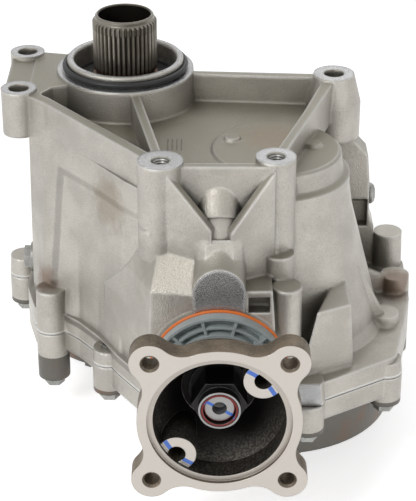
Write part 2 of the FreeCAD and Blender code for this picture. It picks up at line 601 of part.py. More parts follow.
spacer = ring("transfer_spacer_ring", "transfer_lower_journal + seat_gap", "transfer_seat_radius",
              "-lower_bearing_depth + seat_gap", f"-{GEAR_BOTTOM} - seat_gap")
finish("transfer_gear_spacer", place(spacer, TRANSFER_X, TRANSFER_Y, 0))
shim = ring("transfer_shim_ring", "transfer_bearing_radius - 7", "transfer_bearing_radius - seat_gap",
            "-transfer_top_depth + seat_gap", "shim_thickness - transfer_top_depth")
finish("transfer_shim", place(shim, TRANSFER_X, TRANSFER_Y, 0))


def hexagon_bolt(radius, length, head_radius, head_height, x, y, low, head_up):
    """Flanged hexagon bolt as one solid: shank, washer flange and hexagon head."""
    flange = head_height * 0.25
    shank = Part.makeCylinder(radius, length)
    washer = Part.makeCylinder(head_radius, flange, FreeCAD.Vector(0, 0, length))
    corners = [FreeCAD.Vector(head_radius * 0.92 * math.cos(math.pi * side / 3),
                              head_radius * 0.92 * math.sin(math.pi * side / 3), length + flange)
               for side in range(6)]
    head = Part.Face(Part.makePolygon(corners + corners[:1])).extrude(FreeCAD.Vector(0, 0, head_height - flange))
    solid = shank.fuse([washer, head]).removeSplitter()
    if not head_up:
        solid.rotate(FreeCAD.Vector(), FreeCAD.Vector(1, 0, 0), 180)
        solid.translate(FreeCAD.Vector(0, 0, length))
    solid.translate(FreeCAD.Vector(x, y, low))
    return solid


ring_bolts = []
for index in range(bolt_count):
    turn = 2 * math.pi * index / bolt_count
    low = value("-ring_bottom_depth - ring_flange_thickness + seat_gap")
    ring_bolts.append(hexagon_bolt(
        value("ring_bolt_radius - seat_gap"), value("ring_bolt_grip + ring_flange_thickness"), 6.2, 5,
        value("ring_bolt_circle") * math.cos(turn), value("ring_bolt_circle") * math.sin(turn), low, True))
finish("ring_gear_bolts", place(shaped("ring_bolt_set", Part.makeCompound(ring_bolts)),
                                TRANSFER_X, TRANSFER_Y, 0))

# Pinion cartridge: spacer, seal carrier with its ribs, trim ring, seal, flange, washer and nut
spacer = ring("pinion_spacer_ring", "head_journal + seat_gap", "head_journal + 6", 0, "spacer_width - seat_gap")
finish("pinion_spacer", along_pinion(spacer, "head_bearing_start + head_bearing_width + seat_gap / 2"))
carrier_blank = turned("carrier_blank", [
    ("tail_bearing_radius", "carrier_start"), ("carrier_plug_radius - seat_gap", "carrier_start"),
    ("carrier_plug_radius - seat_gap", "nose_face + seat_gap"), ("carrier_radius - 1", "nose_face + seat_gap"),
    ("carrier_radius - 1", "nose_face + 2 * trim_ring_section + 0.2"),
    ("carrier_radius", "nose_face + 2 * trim_ring_section + 0.2"), ("carrier_radius", "carrier_face"),
    ("carrier_radius - carrier_rib_thickness", "carrier_face"),
    ("carrier_radius - carrier_rib_thickness", "carrier_face - carrier_web_depth"),
    ("carrier_inner_ring", "carrier_face - carrier_web_depth"),
    ("carrier_inner_ring", "carrier_face"), ("tail_bearing_radius", "carrier_face")])
carrier_middle = ring("carrier_middle_ring", "carrier_inner_ring + 3.6", "carrier_inner_ring + 5.2",
                      "carrier_face - carrier_web_depth - 1", "carrier_face - 0.8")
carrier_pieces = [along_pinion(carrier_blank, 0), along_pinion(carrier_middle, 0)]
rib_count = int(value("carrier_rib_count"))
for index in range(rib_count):
    rib = doc.addObject("Part::Box", f"carrier_rib_{index}")
    rib.setExpression("Length", bound("carrier_radius - carrier_inner_ring - 1"))
    rib.setExpression("Width", bound("carrier_rib_thickness"))
    rib.setExpression("Height", bound("carrier_web_depth"))
    turn = 360 * (index + 0.5) / rib_count
    spin = FreeCAD.Rotation(FreeCAD.Vector(0, 0, 1), turn)
    rib.Placement.Rotation = FreeCAD.Rotation(FreeCAD.Vector(1, 0, 0), 90).multiply(spin)
    start_x = f"((carrier_inner_ring - 0.5) * cos({turn} deg) + carrier_rib_thickness / 2 * sin({turn} deg))"
    start_z = f"((carrier_inner_ring - 0.5) * sin({turn} deg) - carrier_rib_thickness / 2 * cos({turn} deg))"
    place(rib, f"{PINION_X} + {start_x}", f"{TRANSFER_Y} - (carrier_face - carrier_web_depth - 0.5)",
          f"{start_z} - pinion_depth")
    carrier_pieces.append(rib)
finish("seal_carrier", fused("seal_carrier_part", *carrier_pieces))
trim = doc.addObject("Part::Torus", "carrier_trim_torus")
trim.setExpression("Radius1", bound("carrier_radius + trim_ring_section - 0.9"))
trim.setExpression("Radius2", bound("trim_ring_section"))
finish("carrier_seal_ring", along_pinion(trim, "nose_face + trim_ring_section + 0.1"))
finish("pinion_seal", along_pinion(lip_seal("pinion_lip_seal", 0, "carrier_face - hub_start - 0.3", "hub_radius",
                                            "tail_bearing_radius"), "hub_start"))


def flange_outline():
    """Face of the output flange: a round body with four lobes, joined by hollow fillets."""
    body = value("flange_radius")
    lobe = value("lobe_radius")
    hollow = value("fillet_radius")
    reach = value("lobe_spacing") / math.sqrt(2)
    cosine = (reach ** 2 + (body + hollow) ** 2 - (lobe + hollow) ** 2) / (2 * reach * (body + hollow))
    swing = math.acos(cosine)
    edges = []
    for quarter in range(4):
        middle = math.pi / 4 + quarter * math.pi / 2
        lobe_centre = FreeCAD.Vector(reach * math.cos(middle), reach * math.sin(middle), 0)
        marks = []
        for side in (-1, 1):
            angle = middle + side * swing
            centre = FreeCAD.Vector(math.cos(angle), math.sin(angle), 0) * (body + hollow)
            on_body = centre * (body / (body + hollow))
            on_lobe = centre + (lobe_centre - centre).normalize() * hollow
            nearest = centre + ((on_body + on_lobe) / 2 - centre).normalize() * hollow
            marks.append((on_body, nearest, on_lobe))
        before, after = marks
        tip = FreeCAD.Vector(math.cos(middle), math.sin(middle), 0) * (reach + lobe)
        edges.append(Part.Arc(before[0], before[1], before[2]).toShape())
        edges.append(Part.Arc(before[2], tip, after[2]).toShape())
        edges.append(Part.Arc(after[2], after[1], after[0]).toShape())
        flat = middle + math.pi / 4
        next_start = middle + math.pi / 2 - swing
        edges.append(Part.Arc(after[0], FreeCAD.Vector(math.cos(flat), math.sin(flat), 0) * body,
                              FreeCAD.Vector(math.cos(next_start), math.sin(next_start), 0) * body).toShape())
    return Part.Face(Part.Wire(edges)).extrude(FreeCAD.Vector(0, 0, value("flange_thickness")))


plate = along_pinion(shaped("flange_plate", flange_outline()), "flange_face - flange_thickness")
bowl = along_pinion(turned("flange_bowl", [
    (0, "hub_start"), ("hub_radius", "hub_start"), ("hub_radius", "hub_seat - 5"),
    ("cup_foot_radius + cup_wall", "hub_seat - 3"), ("cup_radius + cup_wall", "hub_seat + 20"),
    ("cup_radius + cup_wall", "flange_face - 1"), (0, "flange_face - 1")]), 0)
cup_space = along_pinion(turned("cup_space", [
    (0, "hub_seat"), ("cup_foot_radius", "hub_seat"), ("cup_foot_radius + 3", "hub_seat + 4"),
    ("cup_radius", "hub_seat + 24"), ("cup_radius", "flange_face - register_depth"),
    ("register_radius", "flange_face - register_depth"), ("register_radius", "flange_face + 1"),
    (0, "flange_face + 1")]), 0)
pads = []
for index, side in enumerate((1, -1)):
    reach = f"({side} * pad_circle / sqrt(2))"
    pads.append(pinion_cylinder(f"flange_pad_{index}", "hub_seat + 4", "flange_face - pad_recess",
                                "pad_radius", reach, reach))
pad_limit = along_pinion(turned("pad_limit", [
    (0, "hub_seat"), ("cup_foot_radius + cup_wall", "hub_seat"), ("cup_radius + 1", "hub_seat + 20"),
    ("cup_radius + 1", "flange_face"), (0, "flange_face")]), 0)
pad_bodies = doc.addObject("Part::Common", "pad_bodies")
pad_bodies.Base = fused("pad_columns", *pads)
pad_bodies.Tool = pad_limit
flange_solid = fused("flange_solid", cut("flange_cup", fused("flange_blank", plate, bowl), cup_space), pad_bodies)
drills = [pinion_cylinder("hub_bore", "hub_start - 1", "hub_seat + 1", "nut_bore_radius + 2 + seat_gap")]
for index, side in enumerate((1, -1)):
    reach = f"({side} * pad_circle / sqrt(2))"
    drills.append(pinion_cylinder(f"pad_hole_{index}", "flange_face - pad_recess - 16",
                                  "flange_face - pad_recess + 1", "pad_hole_radius", reach, reach))
for index in range(4):
    side_x = "lobe_spacing / 2" if index in (0, 3) else "-lobe_spacing / 2"
    side_z = "lobe_spacing / 2" if index in (0, 1) else "-lobe_spacing / 2"
    drills.append(pinion_cylinder(f"lobe_hole_{index}", "flange_face - flange_thickness - 1", "flange_face + 1",
                                  "flange_hole_radius", side_x, side_z))
    mouth = pinion_cone(f"lobe_mouth_{index}", "flange_face - flange_chamfer", "flange_face + 0.2",
                        "flange_hole_radius", "flange_hole_radius + flange_chamfer + 0.2")
    place(mouth, f"{PINION_X} + ({side_x})", f"{TRANSFER_Y} - (flange_face - flange_chamfer)",
          f"({side_z}) - pinion_depth")
    drills.append(mouth)
finish("output_flange", cut("output_flange_part", flange_solid, *drills))
washer = ring("washer_ring", "nut_bore_radius + 0.3", "washer_radius", "hub_seat + seat_gap",
              "hub_seat + washer_thickness")
finish("pinion_washer", along_pinion(washer, 0))
nut_hexagon = doc.addObject("Part::Prism", "nut_hexagon")
nut_hexagon.Polygon = 6
nut_hexagon.setExpression("Circumradius", bound("nut_across_flats / sqrt(3)"))
nut_hexagon.setExpression("Height", bound("nut_height"))
along_pinion(nut_hexagon, "hub_seat + washer_thickness + seat_gap")
nut_collar = pinion_cylinder("nut_collar", "hub_seat + washer_thickness + nut_height",
                             "hub_seat + washer_thickness + nut_height + nut_collar_height", "nut_collar_radius")
nut_bore = pinion_cylinder("nut_bore", "hub_seat", "flange_face", "nut_bore_radius + seat_gap")
finish("pinion_nut", cut("pinion_nut_part", fused("nut_solid", nut_hexagon, nut_collar), nut_bore))


# Main housing
BOSSES = {
    "back_left": ("-left_boss_x", "left_boss_back_y"), "front_left": ("-left_boss_x", "-left_boss_front_y"),
    "tapped_left": ("front_boss_left_x", FRONT_BOSS_Y), "tapped_right": ("front_boss_right_x", "-front_boss_y + 6"),
    "right": ("right_boss_x", "-right_boss_y"),
}


def rail(name, start, end, low, high, width="rib_thickness"):
    """Level rib between two places: an upright slab as wide as the rib."""
    run_x = f"(({end[0]}) - ({start[0]}))"
    run_y = f"(({end[1]}) - ({start[1]}))"
    length = f"sqrt({run_x} ^ 2 + {run_y} ^ 2)"
    side_x = f"({run_y} * ({width}) / 2 / {length})"
    side_y = f"({run_x} * ({width}) / 2 / {length})"
    corners = [(f"({start[0]}) + {side_x}", f"({start[1]}) - {side_y}"),
               (f"({end[0]}) + {side_x}", f"({end[1]}) - {side_y}"),
               (f"({end[0]}) - {side_x}", f"({end[1]}) + {side_y}"),
               (f"({start[0]}) - {side_x}", f"({start[1]}) + {side_y}")]
    return padded(name, corners, low, high)


def web(name, start, end, foot, width):
    """Upright rib whose top edge slopes from one place to another, down to a level foot."""
    first = FreeCAD.Vector(*[value(number) for number in start])
    last = FreeCAD.Vector(*[value(number) for number in end])
    low = value(foot)
    corners = [first, last, FreeCAD.Vector(last.x, last.y, low), FreeCAD.Vector(first.x, first.y, low)]
    face = Part.Face(Part.makePolygon(corners + corners[:1]))
    run = FreeCAD.Vector(last.x - first.x, last.y - first.y, 0).normalize()
    across = FreeCAD.Vector(run.y, -run.x, 0) * value(width)
    solid = face.extrude(across)
    solid.translate(across * -0.5)
    return shaped(name, solid)


lower_box = [
    ("-left_wall_foot", "-corner_y - 12"), ("-foot_corner_x", "-foot_corner_y"), ("-foot_knee_x", "-foot_knee_y"),
    ("-foot_waist_x", "-foot_waist_y"), ("-foot_hip_x", "-foot_hip_y"),
    ("front_boss_left_x - 5", "-box_front - 8"), ("front_boss_right_x + 8", "-box_front - 8"),
    ("tray_right_x + 10", "-box_front + 40"), ("tray_right_x + 8", "2"), ("60", "box_back - 14"),
    ("box_back_width", "box_back + 8"), ("-box_back_width", "box_back + 8"), ("-left_wall_foot", "box_back - 18")]
upper_box = [
    ("-left_wall", "-corner_y"), ("-corner_front_x", "-corner_front_y"), ("-foot_knee_x", "-corner_front_y - 28"),
    ("-foot_waist_x", "-corner_front_y - 46"), ("foot_hip_x * 2", "-box_front + 26"),
    ("front_boss_left_x", "-box_front"), ("front_boss_right_x", "-box_front"), ("tray_right_x - 6", "-box_front + 40"),
    ("tray_right_x", "-14"), ("46", "-2"), ("box_back_width - 6", "box_back - 16"),
    ("-box_back_width", "box_back - 8"), ("-left_wall", "box_back - 24")]
casing_box = lofted("casing_box", lower_box, upper_box, "-parting_depth", "-tray_depth - 2")
tray_corners = [
    ("-left_wall", "-corner_y"), ("-corner_front_x", "-corner_front_y"), ("front_boss_left_x - 15", "-box_front + 18"),
    ("front_boss_left_x", "-box_front"), ("front_boss_right_x", "-box_front"),
    ("right_boss_x", "-right_boss_y - 3"), ("right_boss_x - 8", "-right_boss_y + 3"), ("46", "-2"), ("0", "20"),
    ("-left_wall", "left_boss_back_y + 4")]
tray_block = padded("tray_block", tray_corners, "-tray_depth - tray_floor", "-ridge_drop")
tray_space_corners = [
    ("-left_wall + 8", "-corner_y + 3"), ("-corner_front_x + 3", "-corner_front_y + 8"),
    ("front_boss_left_x - 10", "-box_front + 18 + 6"), ("front_boss_left_x + 4", "-box_front + rib_thickness"),
    ("front_boss_right_x - 2", "-box_front + rib_thickness"), ("right_boss_x - 8", "-right_boss_y - 8"),
    ("right_boss_x - 12", "-right_boss_y - 4"), ("46", "-2 - rib_thickness"), ("0", "0"), ("-40", "-20")]
tray_space = padded("tray_space", tray_space_corners, "-tray_depth", "1", "cast_rounding - 3")
right_rail = rail("right_rail", BOSSES["tapped_right"], BOSSES["right"], "-tray_depth - tray_floor", "-ridge_drop")
pilot_boss = cone("pilot_boss", 0, 0, "-tray_depth - tray_floor", 0, "pilot_boss_radius + 2", "pilot_boss_radius")
shell = [
    fused("casing_top", cut("tray_shell", tray_block, tray_space), right_rail, pilot_boss),
    casing_box,
    rail("rib_to_front", ("0", "0"), BOSSES["tapped_left"], "-tray_depth - 2", "-ridge_drop"),
    rail("back_web", BOSSES["back_left"], ("0", "10"), "-left_boss_depth + 6", "-ridge_drop", "rib_thickness + 6"),
    rail("left_web", BOSSES["front_left"], ("0", "-10"), "-tray_depth - 2", "-ridge_drop", "rib_thickness"),
    rail("left_side", BOSSES["front_left"], BOSSES["back_left"], "-left_boss_depth + 4", "-ridge_drop - 1",
         "2 * left_boss_radius - 4"),
]
for key in ("back_left", "front_left"):
    x, y = BOSSES[key]
    shell.append(cylinder(f"{key}_boss", x, y, "-left_boss_depth", 0, "left_boss_radius"))
for key, radius in (("tapped_left", "front_boss_left_radius"), ("tapped_right", "front_boss_right_radius")):
    x, y = BOSSES[key]
    shell.append(cylinder(f"{key}_boss", x, y, f"-{key}_foot", 0, radius))
x, y = BOSSES["right"]
shell.append(cone("right_boss_top", x, y, "-disc_depth", 0, "right_boss_foot_radius", "right_boss_radius"))
shell.append(cylinder("right_boss_column", x, y, "-step_top_depth + 5", "-disc_depth", "right_boss_foot_radius"))
bell = turned("bell", [
    (0, "-parting_depth"), ("bell_radius + 1", "-parting_depth"), ("bell_radius", "-bell_depth"),
    ("cone_radius", "-cone_depth"), ("neck_radius", "-neck_depth"), ("band_radius", "-band_foot_depth"),
    ("band_radius", "-band_top_depth - 3"), ("disc_radius + 1", "-band_top_depth"),
    ("disc_radius", "-disc_depth - 2"), ("disc_radius - 2", "-disc_depth"), (0, "-disc_depth")])
shell.append(place(bell, TRANSFER_X, TRANSFER_Y, 0))
shell.append(pinion_cylinder("nose", 20, "nose_face", "nose_radius"))
arch_centre = "pinion_depth - arch_top - pillar_width / 2"
shell.append(box("arch_leg", f"{PINION_X} - pillar_width / 2 + 0.8", f"{TRANSFER_Y} - nose_face", "-pinion_depth",
                 "pillar_width - 1.6", "nose_face - nose_under_start", "pinion_depth - tower_leg_depth"))
bend = doc.addObject("Part::Torus", "tower_bend")
for name, size in (("Radius1", "tower_bend_radius"), ("Radius2", "pillar_width / 2"), ("Angle3", "tower_turn")):
    bend.setExpression(name, bound(size))
low_end = math.radians(value("tower_low_end"))
bend.Placement.Rotation = FreeCAD.Rotation(
    FreeCAD.Vector(0, math.cos(low_end), -math.sin(low_end)), FreeCAD.Vector(0, math.sin(low_end), math.cos(low_end)),
    FreeCAD.Vector(1, 0, 0), "ZXY")
place(bend, PINION_X, "-tower_bend_y", "-tower_bend_depth")
hump = doc.addObject("Part::Cylinder", "hump")
hump.setExpression("Radius", bound("hump_radius"))
hump.setExpression("Height", bound("hump_length"))
hump.Placement.Rotation = FreeCAD.Rotation(FreeCAD.Vector(1, 0, 0), 90 + value("hump_slope"))
place(hump, PINION_X, "-hump_y", "-hump_depth")
behind_wall = box("behind_wall", f"{PINION_X} - pillar_width", "-box_front + rib_thickness - 1", "-tray_depth - tray_floor / 2",
                  "2 * pillar_width", "2 * pillar_width", "2 * pillar_width")
before_nose = box("before_nose", f"{PINION_X} - pillar_width", f"{TRANSFER_Y} - nose_face - 2 * pillar_width",
                  "-pinion_depth", "2 * pillar_width", "2 * pillar_width", "pinion_depth")
shell.append(cut("tower", fused("tower_solid", bend, hump), behind_wall, before_nose))
rib_left_top = ("front_boss_left_x + 5", "-front_boss_y - 11", "-slope_rib_top")
rib_right_top = ("front_boss_right_x - 2", "-front_boss_y - 6", "-slope_rib_top")
rib_left_foot = (f"{PINION_X} - 4", "-slope_rib_foot_y", "-slope_rib_foot")
rib_right_foot = (f"{PINION_X} + 6", "-slope_rib_foot_y", "-slope_rib_foot - 2")
shell.append(web("left_slope_rib", rib_left_top, rib_left_foot, "-shoulder_depth", "rib_thickness"))
shell.append(web("right_slope_rib", rib_right_top, rib_right_foot, "-shoulder_depth", "rib_thickness"))

hood_foot = [(f"{PINION_X} - 16", "-nose_hood_y"), (f"{PINION_X} - 9.5", "-nose_hood_y - 11"),
             (f"{PINION_X} + 9.5", "-nose_hood_y - 11"), (f"{PINION_X} + 16", "-nose_hood_y"),
             (f"{PINION_X} + 16", "-front_boss_y"), (f"{PINION_X} - 16", "-front_boss_y")]
hood_top = [(f"{PINION_X} - 14", "-nose_hood_y + 1"), (f"{PINION_X} - 8", "-nose_hood_y - 1.2"),
            (f"{PINION_X} + 8", "-nose_hood_y - 1.2"), (f"{PINION_X} + 14", "-nose_hood_y + 1"),
            (f"{PINION_X} + 14", "-front_boss_y"), (f"{PINION_X} - 14", "-front_boss_y")]
shell.append(lofted("tower_hood", hood_foot, hood_top, "-hood_foot_depth", "-hood_top_depth"))

# Shoulder to the left of the tower: a block on the flange, and a hill on top that leans back to the wall
NOSE_LEFT = f"({PINION_X} - nose_radius + 1)"
NOSE_FRONT = f"({TRANSFER_Y} - nose_face + 2)"
block_foot = [("-foot_waist_x + 2", "-foot_waist_y + 3"), (f"{NOSE_LEFT} - 3", f"{NOSE_FRONT} + 5"),
              (PINION_X, NOSE_FRONT), (PINION_X, "-foot_waist_y")]
block_top = [("-foot_waist_x + 5", "-foot_waist_y - 6"), (f"{NOSE_LEFT} - 1", f"{NOSE_FRONT} + 5"),
             (PINION_X, NOSE_FRONT), (PINION_X, "-foot_waist_y")]
shoulder_edge = [("2 * foot_hip_x", "-foot_hip_y"), (NOSE_LEFT, f"{NOSE_FRONT} + 5"),
                 (f"{PINION_X} - 10", NOSE_FRONT), (PINION_X, "-front_boss_y + 12")]
hill_top = [("front_boss_left_x - 6", "-front_boss_y + 3"), ("front_boss_left_x", "-front_boss_y - 6"),
            (f"{PINION_X} - 12", "-front_boss_y - 14"), (PINION_X, "-front_boss_y + 12")]
shell.append(lofted("front_block", block_foot, block_top, "-parting_depth", "-block_depth"))
shell.append(lofted("shoulder", block_top, shoulder_edge, "-block_depth", "-shoulder_depth"))
shell.append(lofted("shoulder_hill", shoulder_edge, hill_top, "-shoulder_depth", "-hill_depth"))
NOSE_RIGHT = f"({PINION_X} + pillar_width)"
right_foot = [(PINION_X, NOSE_FRONT), (f"{NOSE_RIGHT} + 6", NOSE_FRONT), (f"{NOSE_RIGHT} + 8", "-front_boss_y"),
              (PINION_X, "-front_boss_y")]
right_top = [(PINION_X, NOSE_FRONT), (NOSE_RIGHT, f"{NOSE_FRONT} + 1"), (NOSE_RIGHT, "-front_boss_y"),
             (PINION_X, "-front_boss_y")]
nose_ledge = lofted("nose_ledge", right_foot, right_top, "-parting_depth", "-ledge_depth")
ledge_pocket = box("ledge_pocket", f"{PINION_X} + pillar_width / 2 + 1.5", NOSE_FRONT, "-ledge_depth - 15",
                   "pillar_width / 2 - 3", "10", "11")
shell.append(cut("nose_ledge_part", nose_ledge, ledge_pocket))
shell.append(cylinder("blind_back", "blind_back_x", "-blind_back_y", "-parting_depth", "-blind_back_top",
                      "blind_boss_radius"))
shell.append(cylinder("blind_front", "blind_front_x", "-blind_front_y", "-parting_depth", "-blind_front_top",
                      "blind_boss_radius"))

# Right-hand gusset block, whose top narrows back to the bell
gusset_foot = [("gusset_left_x - 3", "-gusset_left_y - 4"), ("gusset_right_x + 4", "-gusset_right_y - 1"),
               ("gusset_right_x + 2", "-gusset_back_y"), ("gusset_left_x - 5", "-gusset_back_y - 10")]
gusset_top = [("gusset_left_x + 11", "-gusset_left_y + 6"), ("gusset_right_x", "-gusset_right_y"),
              ("gusset_right_x - 2", "-gusset_back_y + 3"), ("gusset_right_x - 7", "-gusset_back_y + 3")]
shell.append(lofted("gusset", gusset_foot, gusset_top, "-parting_depth", "-gusset_depth"))

# Bracket under the right boss: an upright plate that faces the flange's side, with a blind window
bracket_outline = [
    ("tray_right_x - 8", "-disc_depth - 4"), ("right_boss_x + 6", "-disc_depth - 18"),
    ("bracket_right_x - 14", "-disc_depth - 24"), ("bracket_right_x - 2", "-disc_depth - 37"),
    ("bracket_right_x", "-disc_depth - 60"), ("bracket_right_x", "-disc_depth - 82"),
    ("bracket_right_x + 4", "-disc_depth - 92"), ("bracket_right_x + 5", "-parting_depth"), ("tray_right_x - 8", "-parting_depth")]
bracket = doc.addObject("PartDesign::Body", "bracket")
bracket_pad = bracket.newObject("PartDesign::Pad", "bracket_pad")
bracket_pad.Profile = body_sketch(bracket, "XZ_Plane", bracket_outline, "bracket_back_y")
bracket_pad.setExpression("Length", bound("bracket_thickness"))
window = box("bracket_window", "bracket_right_x - 12", "-bracket_back_y - bracket_thickness - 1", "-disc_depth - 92",
             "11", "bracket_thickness / 2", "21")
shell.append(cut("bracket_plate", bracket, window))
shell.append(web("bell_rib", ("bell_rib_x", "-bell_rib_y", "-bell_rib_depth"),
                 ("bell_boss_x", "-bell_boss_y", "-bell_boss_top - 1"), "-parting_depth", "rib_thickness"))
shell.append(cone("bell_boss", "bell_boss_x", "-bell_boss_y", "-parting_depth", "-bell_boss_top",
                  "bolt_boss_radius + 1", "bolt_boss_radius - 1"))
shell.append(web("side_rib", (TRANSFER_X, TRANSFER_Y, "-step_foot_depth - 22"),
                 ("bolt_side_x", "bolt_side_y", "-bolt_side_top - 4"), "-parting_depth", "rib_thickness"))
for name, x, y in (("left_pad", "left_pad_x", "-left_pad_y"), ("right_pad", "right_pad_x", "-right_pad_y")):
    shell.append(cone(name, x, y, "-disc_depth - 1", "2 - disc_depth", "pad_foot_radius", "pad_foot_radius - 1.5"))

# Parting flange and its bolt bosses
FLANGE_NAMES = ("left", "corner", "front", "nose", "gusset", "side", "right", "back", "rear", "tail", "heel")
flange_corners = [
    ("-left_wall_foot - 4", "-corner_y - 12"), ("-foot_corner_x - 3", "-foot_corner_y - 3"),
    ("-foot_corner_x + 16", "-foot_corner_y - 8"), ("-foot_knee_x", "-foot_knee_y - 3"),
    ("-foot_waist_x", "-foot_waist_y - 4"), ("-foot_hip_x", "-foot_hip_y - 3"),
    ("front_boss_left_x - 10", "-box_front - 21"), ("front_boss_left_x + 2", "-box_front - 26"),
    ("bolt_nose_x + 2", "bolt_nose_y - 6"),
    ("bolt_gusset_x + 6", "bolt_gusset_y - 6"), ("bolt_side_x + 9", "bolt_side_y - 16"),
    ("bolt_side_x + 10", "bolt_right_y + 4"), ("bolt_back_x + 6", "bolt_back_y + 8"),
    ("bolt_rear_x + 8", "bolt_rear_y + 4"), ("bolt_tail_x + 22", "bolt_tail_y - 4"),
    ("bolt_tail_x - 14", "bolt_tail_y"), ("bolt_heel_x - 8", "bolt_heel_y"), ("-left_wall_foot - 5", "18")]
shell.append(padded("housing_flange_plate", flange_corners, "-parting_depth", "-parting_depth + housing_flange",
                    "flange_rounding"))
for key in FLANGE_NAMES:
    shell.append(cone(f"bolt_boss_{key}", f"bolt_{key}_x", f"bolt_{key}_y", "-parting_depth", f"-bolt_{key}_top",
                      "bolt_boss_radius", "bolt_boss_radius - 1"))

# Dowels, plugs and breather: places shared by the pieces and by their holes
DOWELS = {"rear": ("bolt_heel_x + 20", "bolt_heel_y + 6"), "front": ("bolt_nose_x + 27", "bolt_nose_y + 17")}
PLUG_TURN = FreeCAD.Rotation(FreeCAD.Vector(0, 1, 0), -90)
FILL_PLACE = ("-left_wall_foot + housing_wall", "-corner_y + 8", "-parting_depth + housing_flange + 14")
DRAIN_PLACE = ("input_gear_seat + 28", "-30", "-cover_roof_depth")
BREATHER_PLACE = ("bracket_right_x", "-bracket_back_y - 10", "-disc_depth - 71")
BREATHER_TURN = FreeCAD.Rotation(FreeCAD.Vector(0, 1, 0), 90)


def hole_at(name, centre, radius, start, end, turn):
    """Round cutter along a turned direction, between two distances from a place."""
    solid = Part.makeCylinder(value(radius), value(end) - value(start), FreeCAD.Vector(0, 0, value(start)))
    item = shaped(name, solid)
    item.Placement.Rotation = turn
    return place(item, *centre)


# What is cut away inside the housing
room_corners = [
    ("-left_wall_foot + housing_wall", "-corner_y + 3"), ("-corner_front_x + housing_wall - 2", "-corner_front_y"),
    ("front_boss_left_x - 16", "-box_front + 34"), (f"{PINION_X} - nose_radius + 4", "-box_front + 34"),
    (f"{PINION_X} - nose_radius + 4", "-60"), ("40", "-40"), ("box_back_width - 2", "box_back - 24"),
    ("-box_back_width", "box_back - 16"), ("-left_wall_foot + housing_wall", "box_back - 34")]
room = cut("room", padded("room_block", room_corners, "-parting_depth - 1", "-tray_depth - tray_floor - 6"),
           cylinder("tunnel", 0, 0, "-parting_depth - 2", 0, "pilot_bore_radius + tunnel_wall"))
bell_space = turned("bell_space", [
    (0, f"-{GEAR_BOTTOM}"), ("bell_cavity_radius", f"-{GEAR_BOTTOM}"),
    ("bell_cavity_radius", "-bell_depth + 1"), ("cone_radius - 7.5", "-cone_depth"),
    ("step_radius - 6", "-step_foot_depth - 8"), ("step_radius - 9", "-step_top_depth - 4"),
    ("transfer_bearing_radius - 3", "-transfer_top_depth - transfer_bearing_width - 1"),
    ("transfer_bearing_radius", "-transfer_top_depth - transfer_bearing_width"),
    ("transfer_bearing_radius", "shim_thickness - transfer_top_depth"),
    (0, "shim_thickness - transfer_top_depth")])
inside = [
    room, place(bell_space, TRANSFER_X, TRANSFER_Y, 0),
    cylinder("pilot_bore", 0, 0, "-input_bearing_depth - input_bearing_width", "pilot_height + 1", "pilot_bore_radius"),
    cylinder("input_bore", 0, 0, "-parting_depth - 1", "-input_bearing_depth", "input_shoulder_radius + 2"),
    pinion_cylinder("pinion_room", 15, "head_bearing_start", "head_bearing_radius - 1.5"),
    pinion_cylinder("head_bore", "head_bearing_start", "carrier_start - 1", "head_bearing_radius"),
    pinion_cylinder("carrier_bore", "carrier_start - 1", "nose_face + 1", "carrier_plug_radius"),
]
for key in ("back_left", "front_left"):
    x, y = BOSSES[key]
    inside.append(cylinder(f"{key}_hole", x, y, "-left_boss_depth - 1", 1, "mount_hole_radius"))
    inside.append(cylinder(f"{key}_relief", x, y, "-3 * left_boss_depth / 2", "-left_boss_depth",
                           "left_boss_radius - 1"))
    inside.append(cone(f"{key}_mouth", x, y, "-0.5", 0.1, "mount_hole_radius", "mount_hole_radius + 0.6"))
for key in ("tapped_left", "tapped_right"):
    x, y = BOSSES[key]
    inside.append(cylinder(f"{key}_hole", x, y, "-mount_tap_depth", 1, "mount_tap_radius"))
    inside.append(cone(f"{key}_mouth", x, y, "-1.1", 0.1, "mount_tap_radius", "mount_tap_radius + 1.2"))
x, y = BOSSES["right"]
inside.append(cylinder("right_hole", x, y, "-step_top_depth + 4", 1, "mount_hole_radius"))
inside.append(cone("right_mouth", x, y, "-0.5", 0.1, "mount_hole_radius", "mount_hole_radius + 0.6"))
for key in FLANGE_NAMES:
    inside.append(cylinder(f"bolt_thread_{key}", f"bolt_{key}_x", f"bolt_{key}_y", "-parting_depth - 1",
                           "-parting_depth + bolt_reach + 1", "bolt_radius + seat_gap"))
for key, (x, y) in DOWELS.items():
    inside.append(cylinder(f"dowel_seat_{key}", x, y, "-parting_depth - 1", "-parting_depth + dowel_length / 2 + 0.5",
                           "dowel_radius + seat_gap"))
inside.append(hole_at("fill_hole", FILL_PLACE, "fill_plug_radius + seat_gap", "-12", "housing_wall + 3", PLUG_TURN))
inside.append(hole_at("breather_hole", BREATHER_PLACE, "mount_tap_radius", "-breather_stem - 1", "12", BREATHER_TURN))
inside.append(cylinder("right_relief", *BOSSES["right"], "-step_foot_depth - 26", "-step_top_depth + 4.5",
                       "left_boss_radius - 1"))
below = box("below_parting", -300, -400, "-parting_depth - 200", 700, 800, 200)
nose_front = pinion_cylinder("nose_front", "nose_under_start", "nose_face + 1", "nose_radius + 1")
before_nose = box("before_nose", -300, f"{TRANSFER_Y} - nose_face - 200", -400, 700, 200, 400)
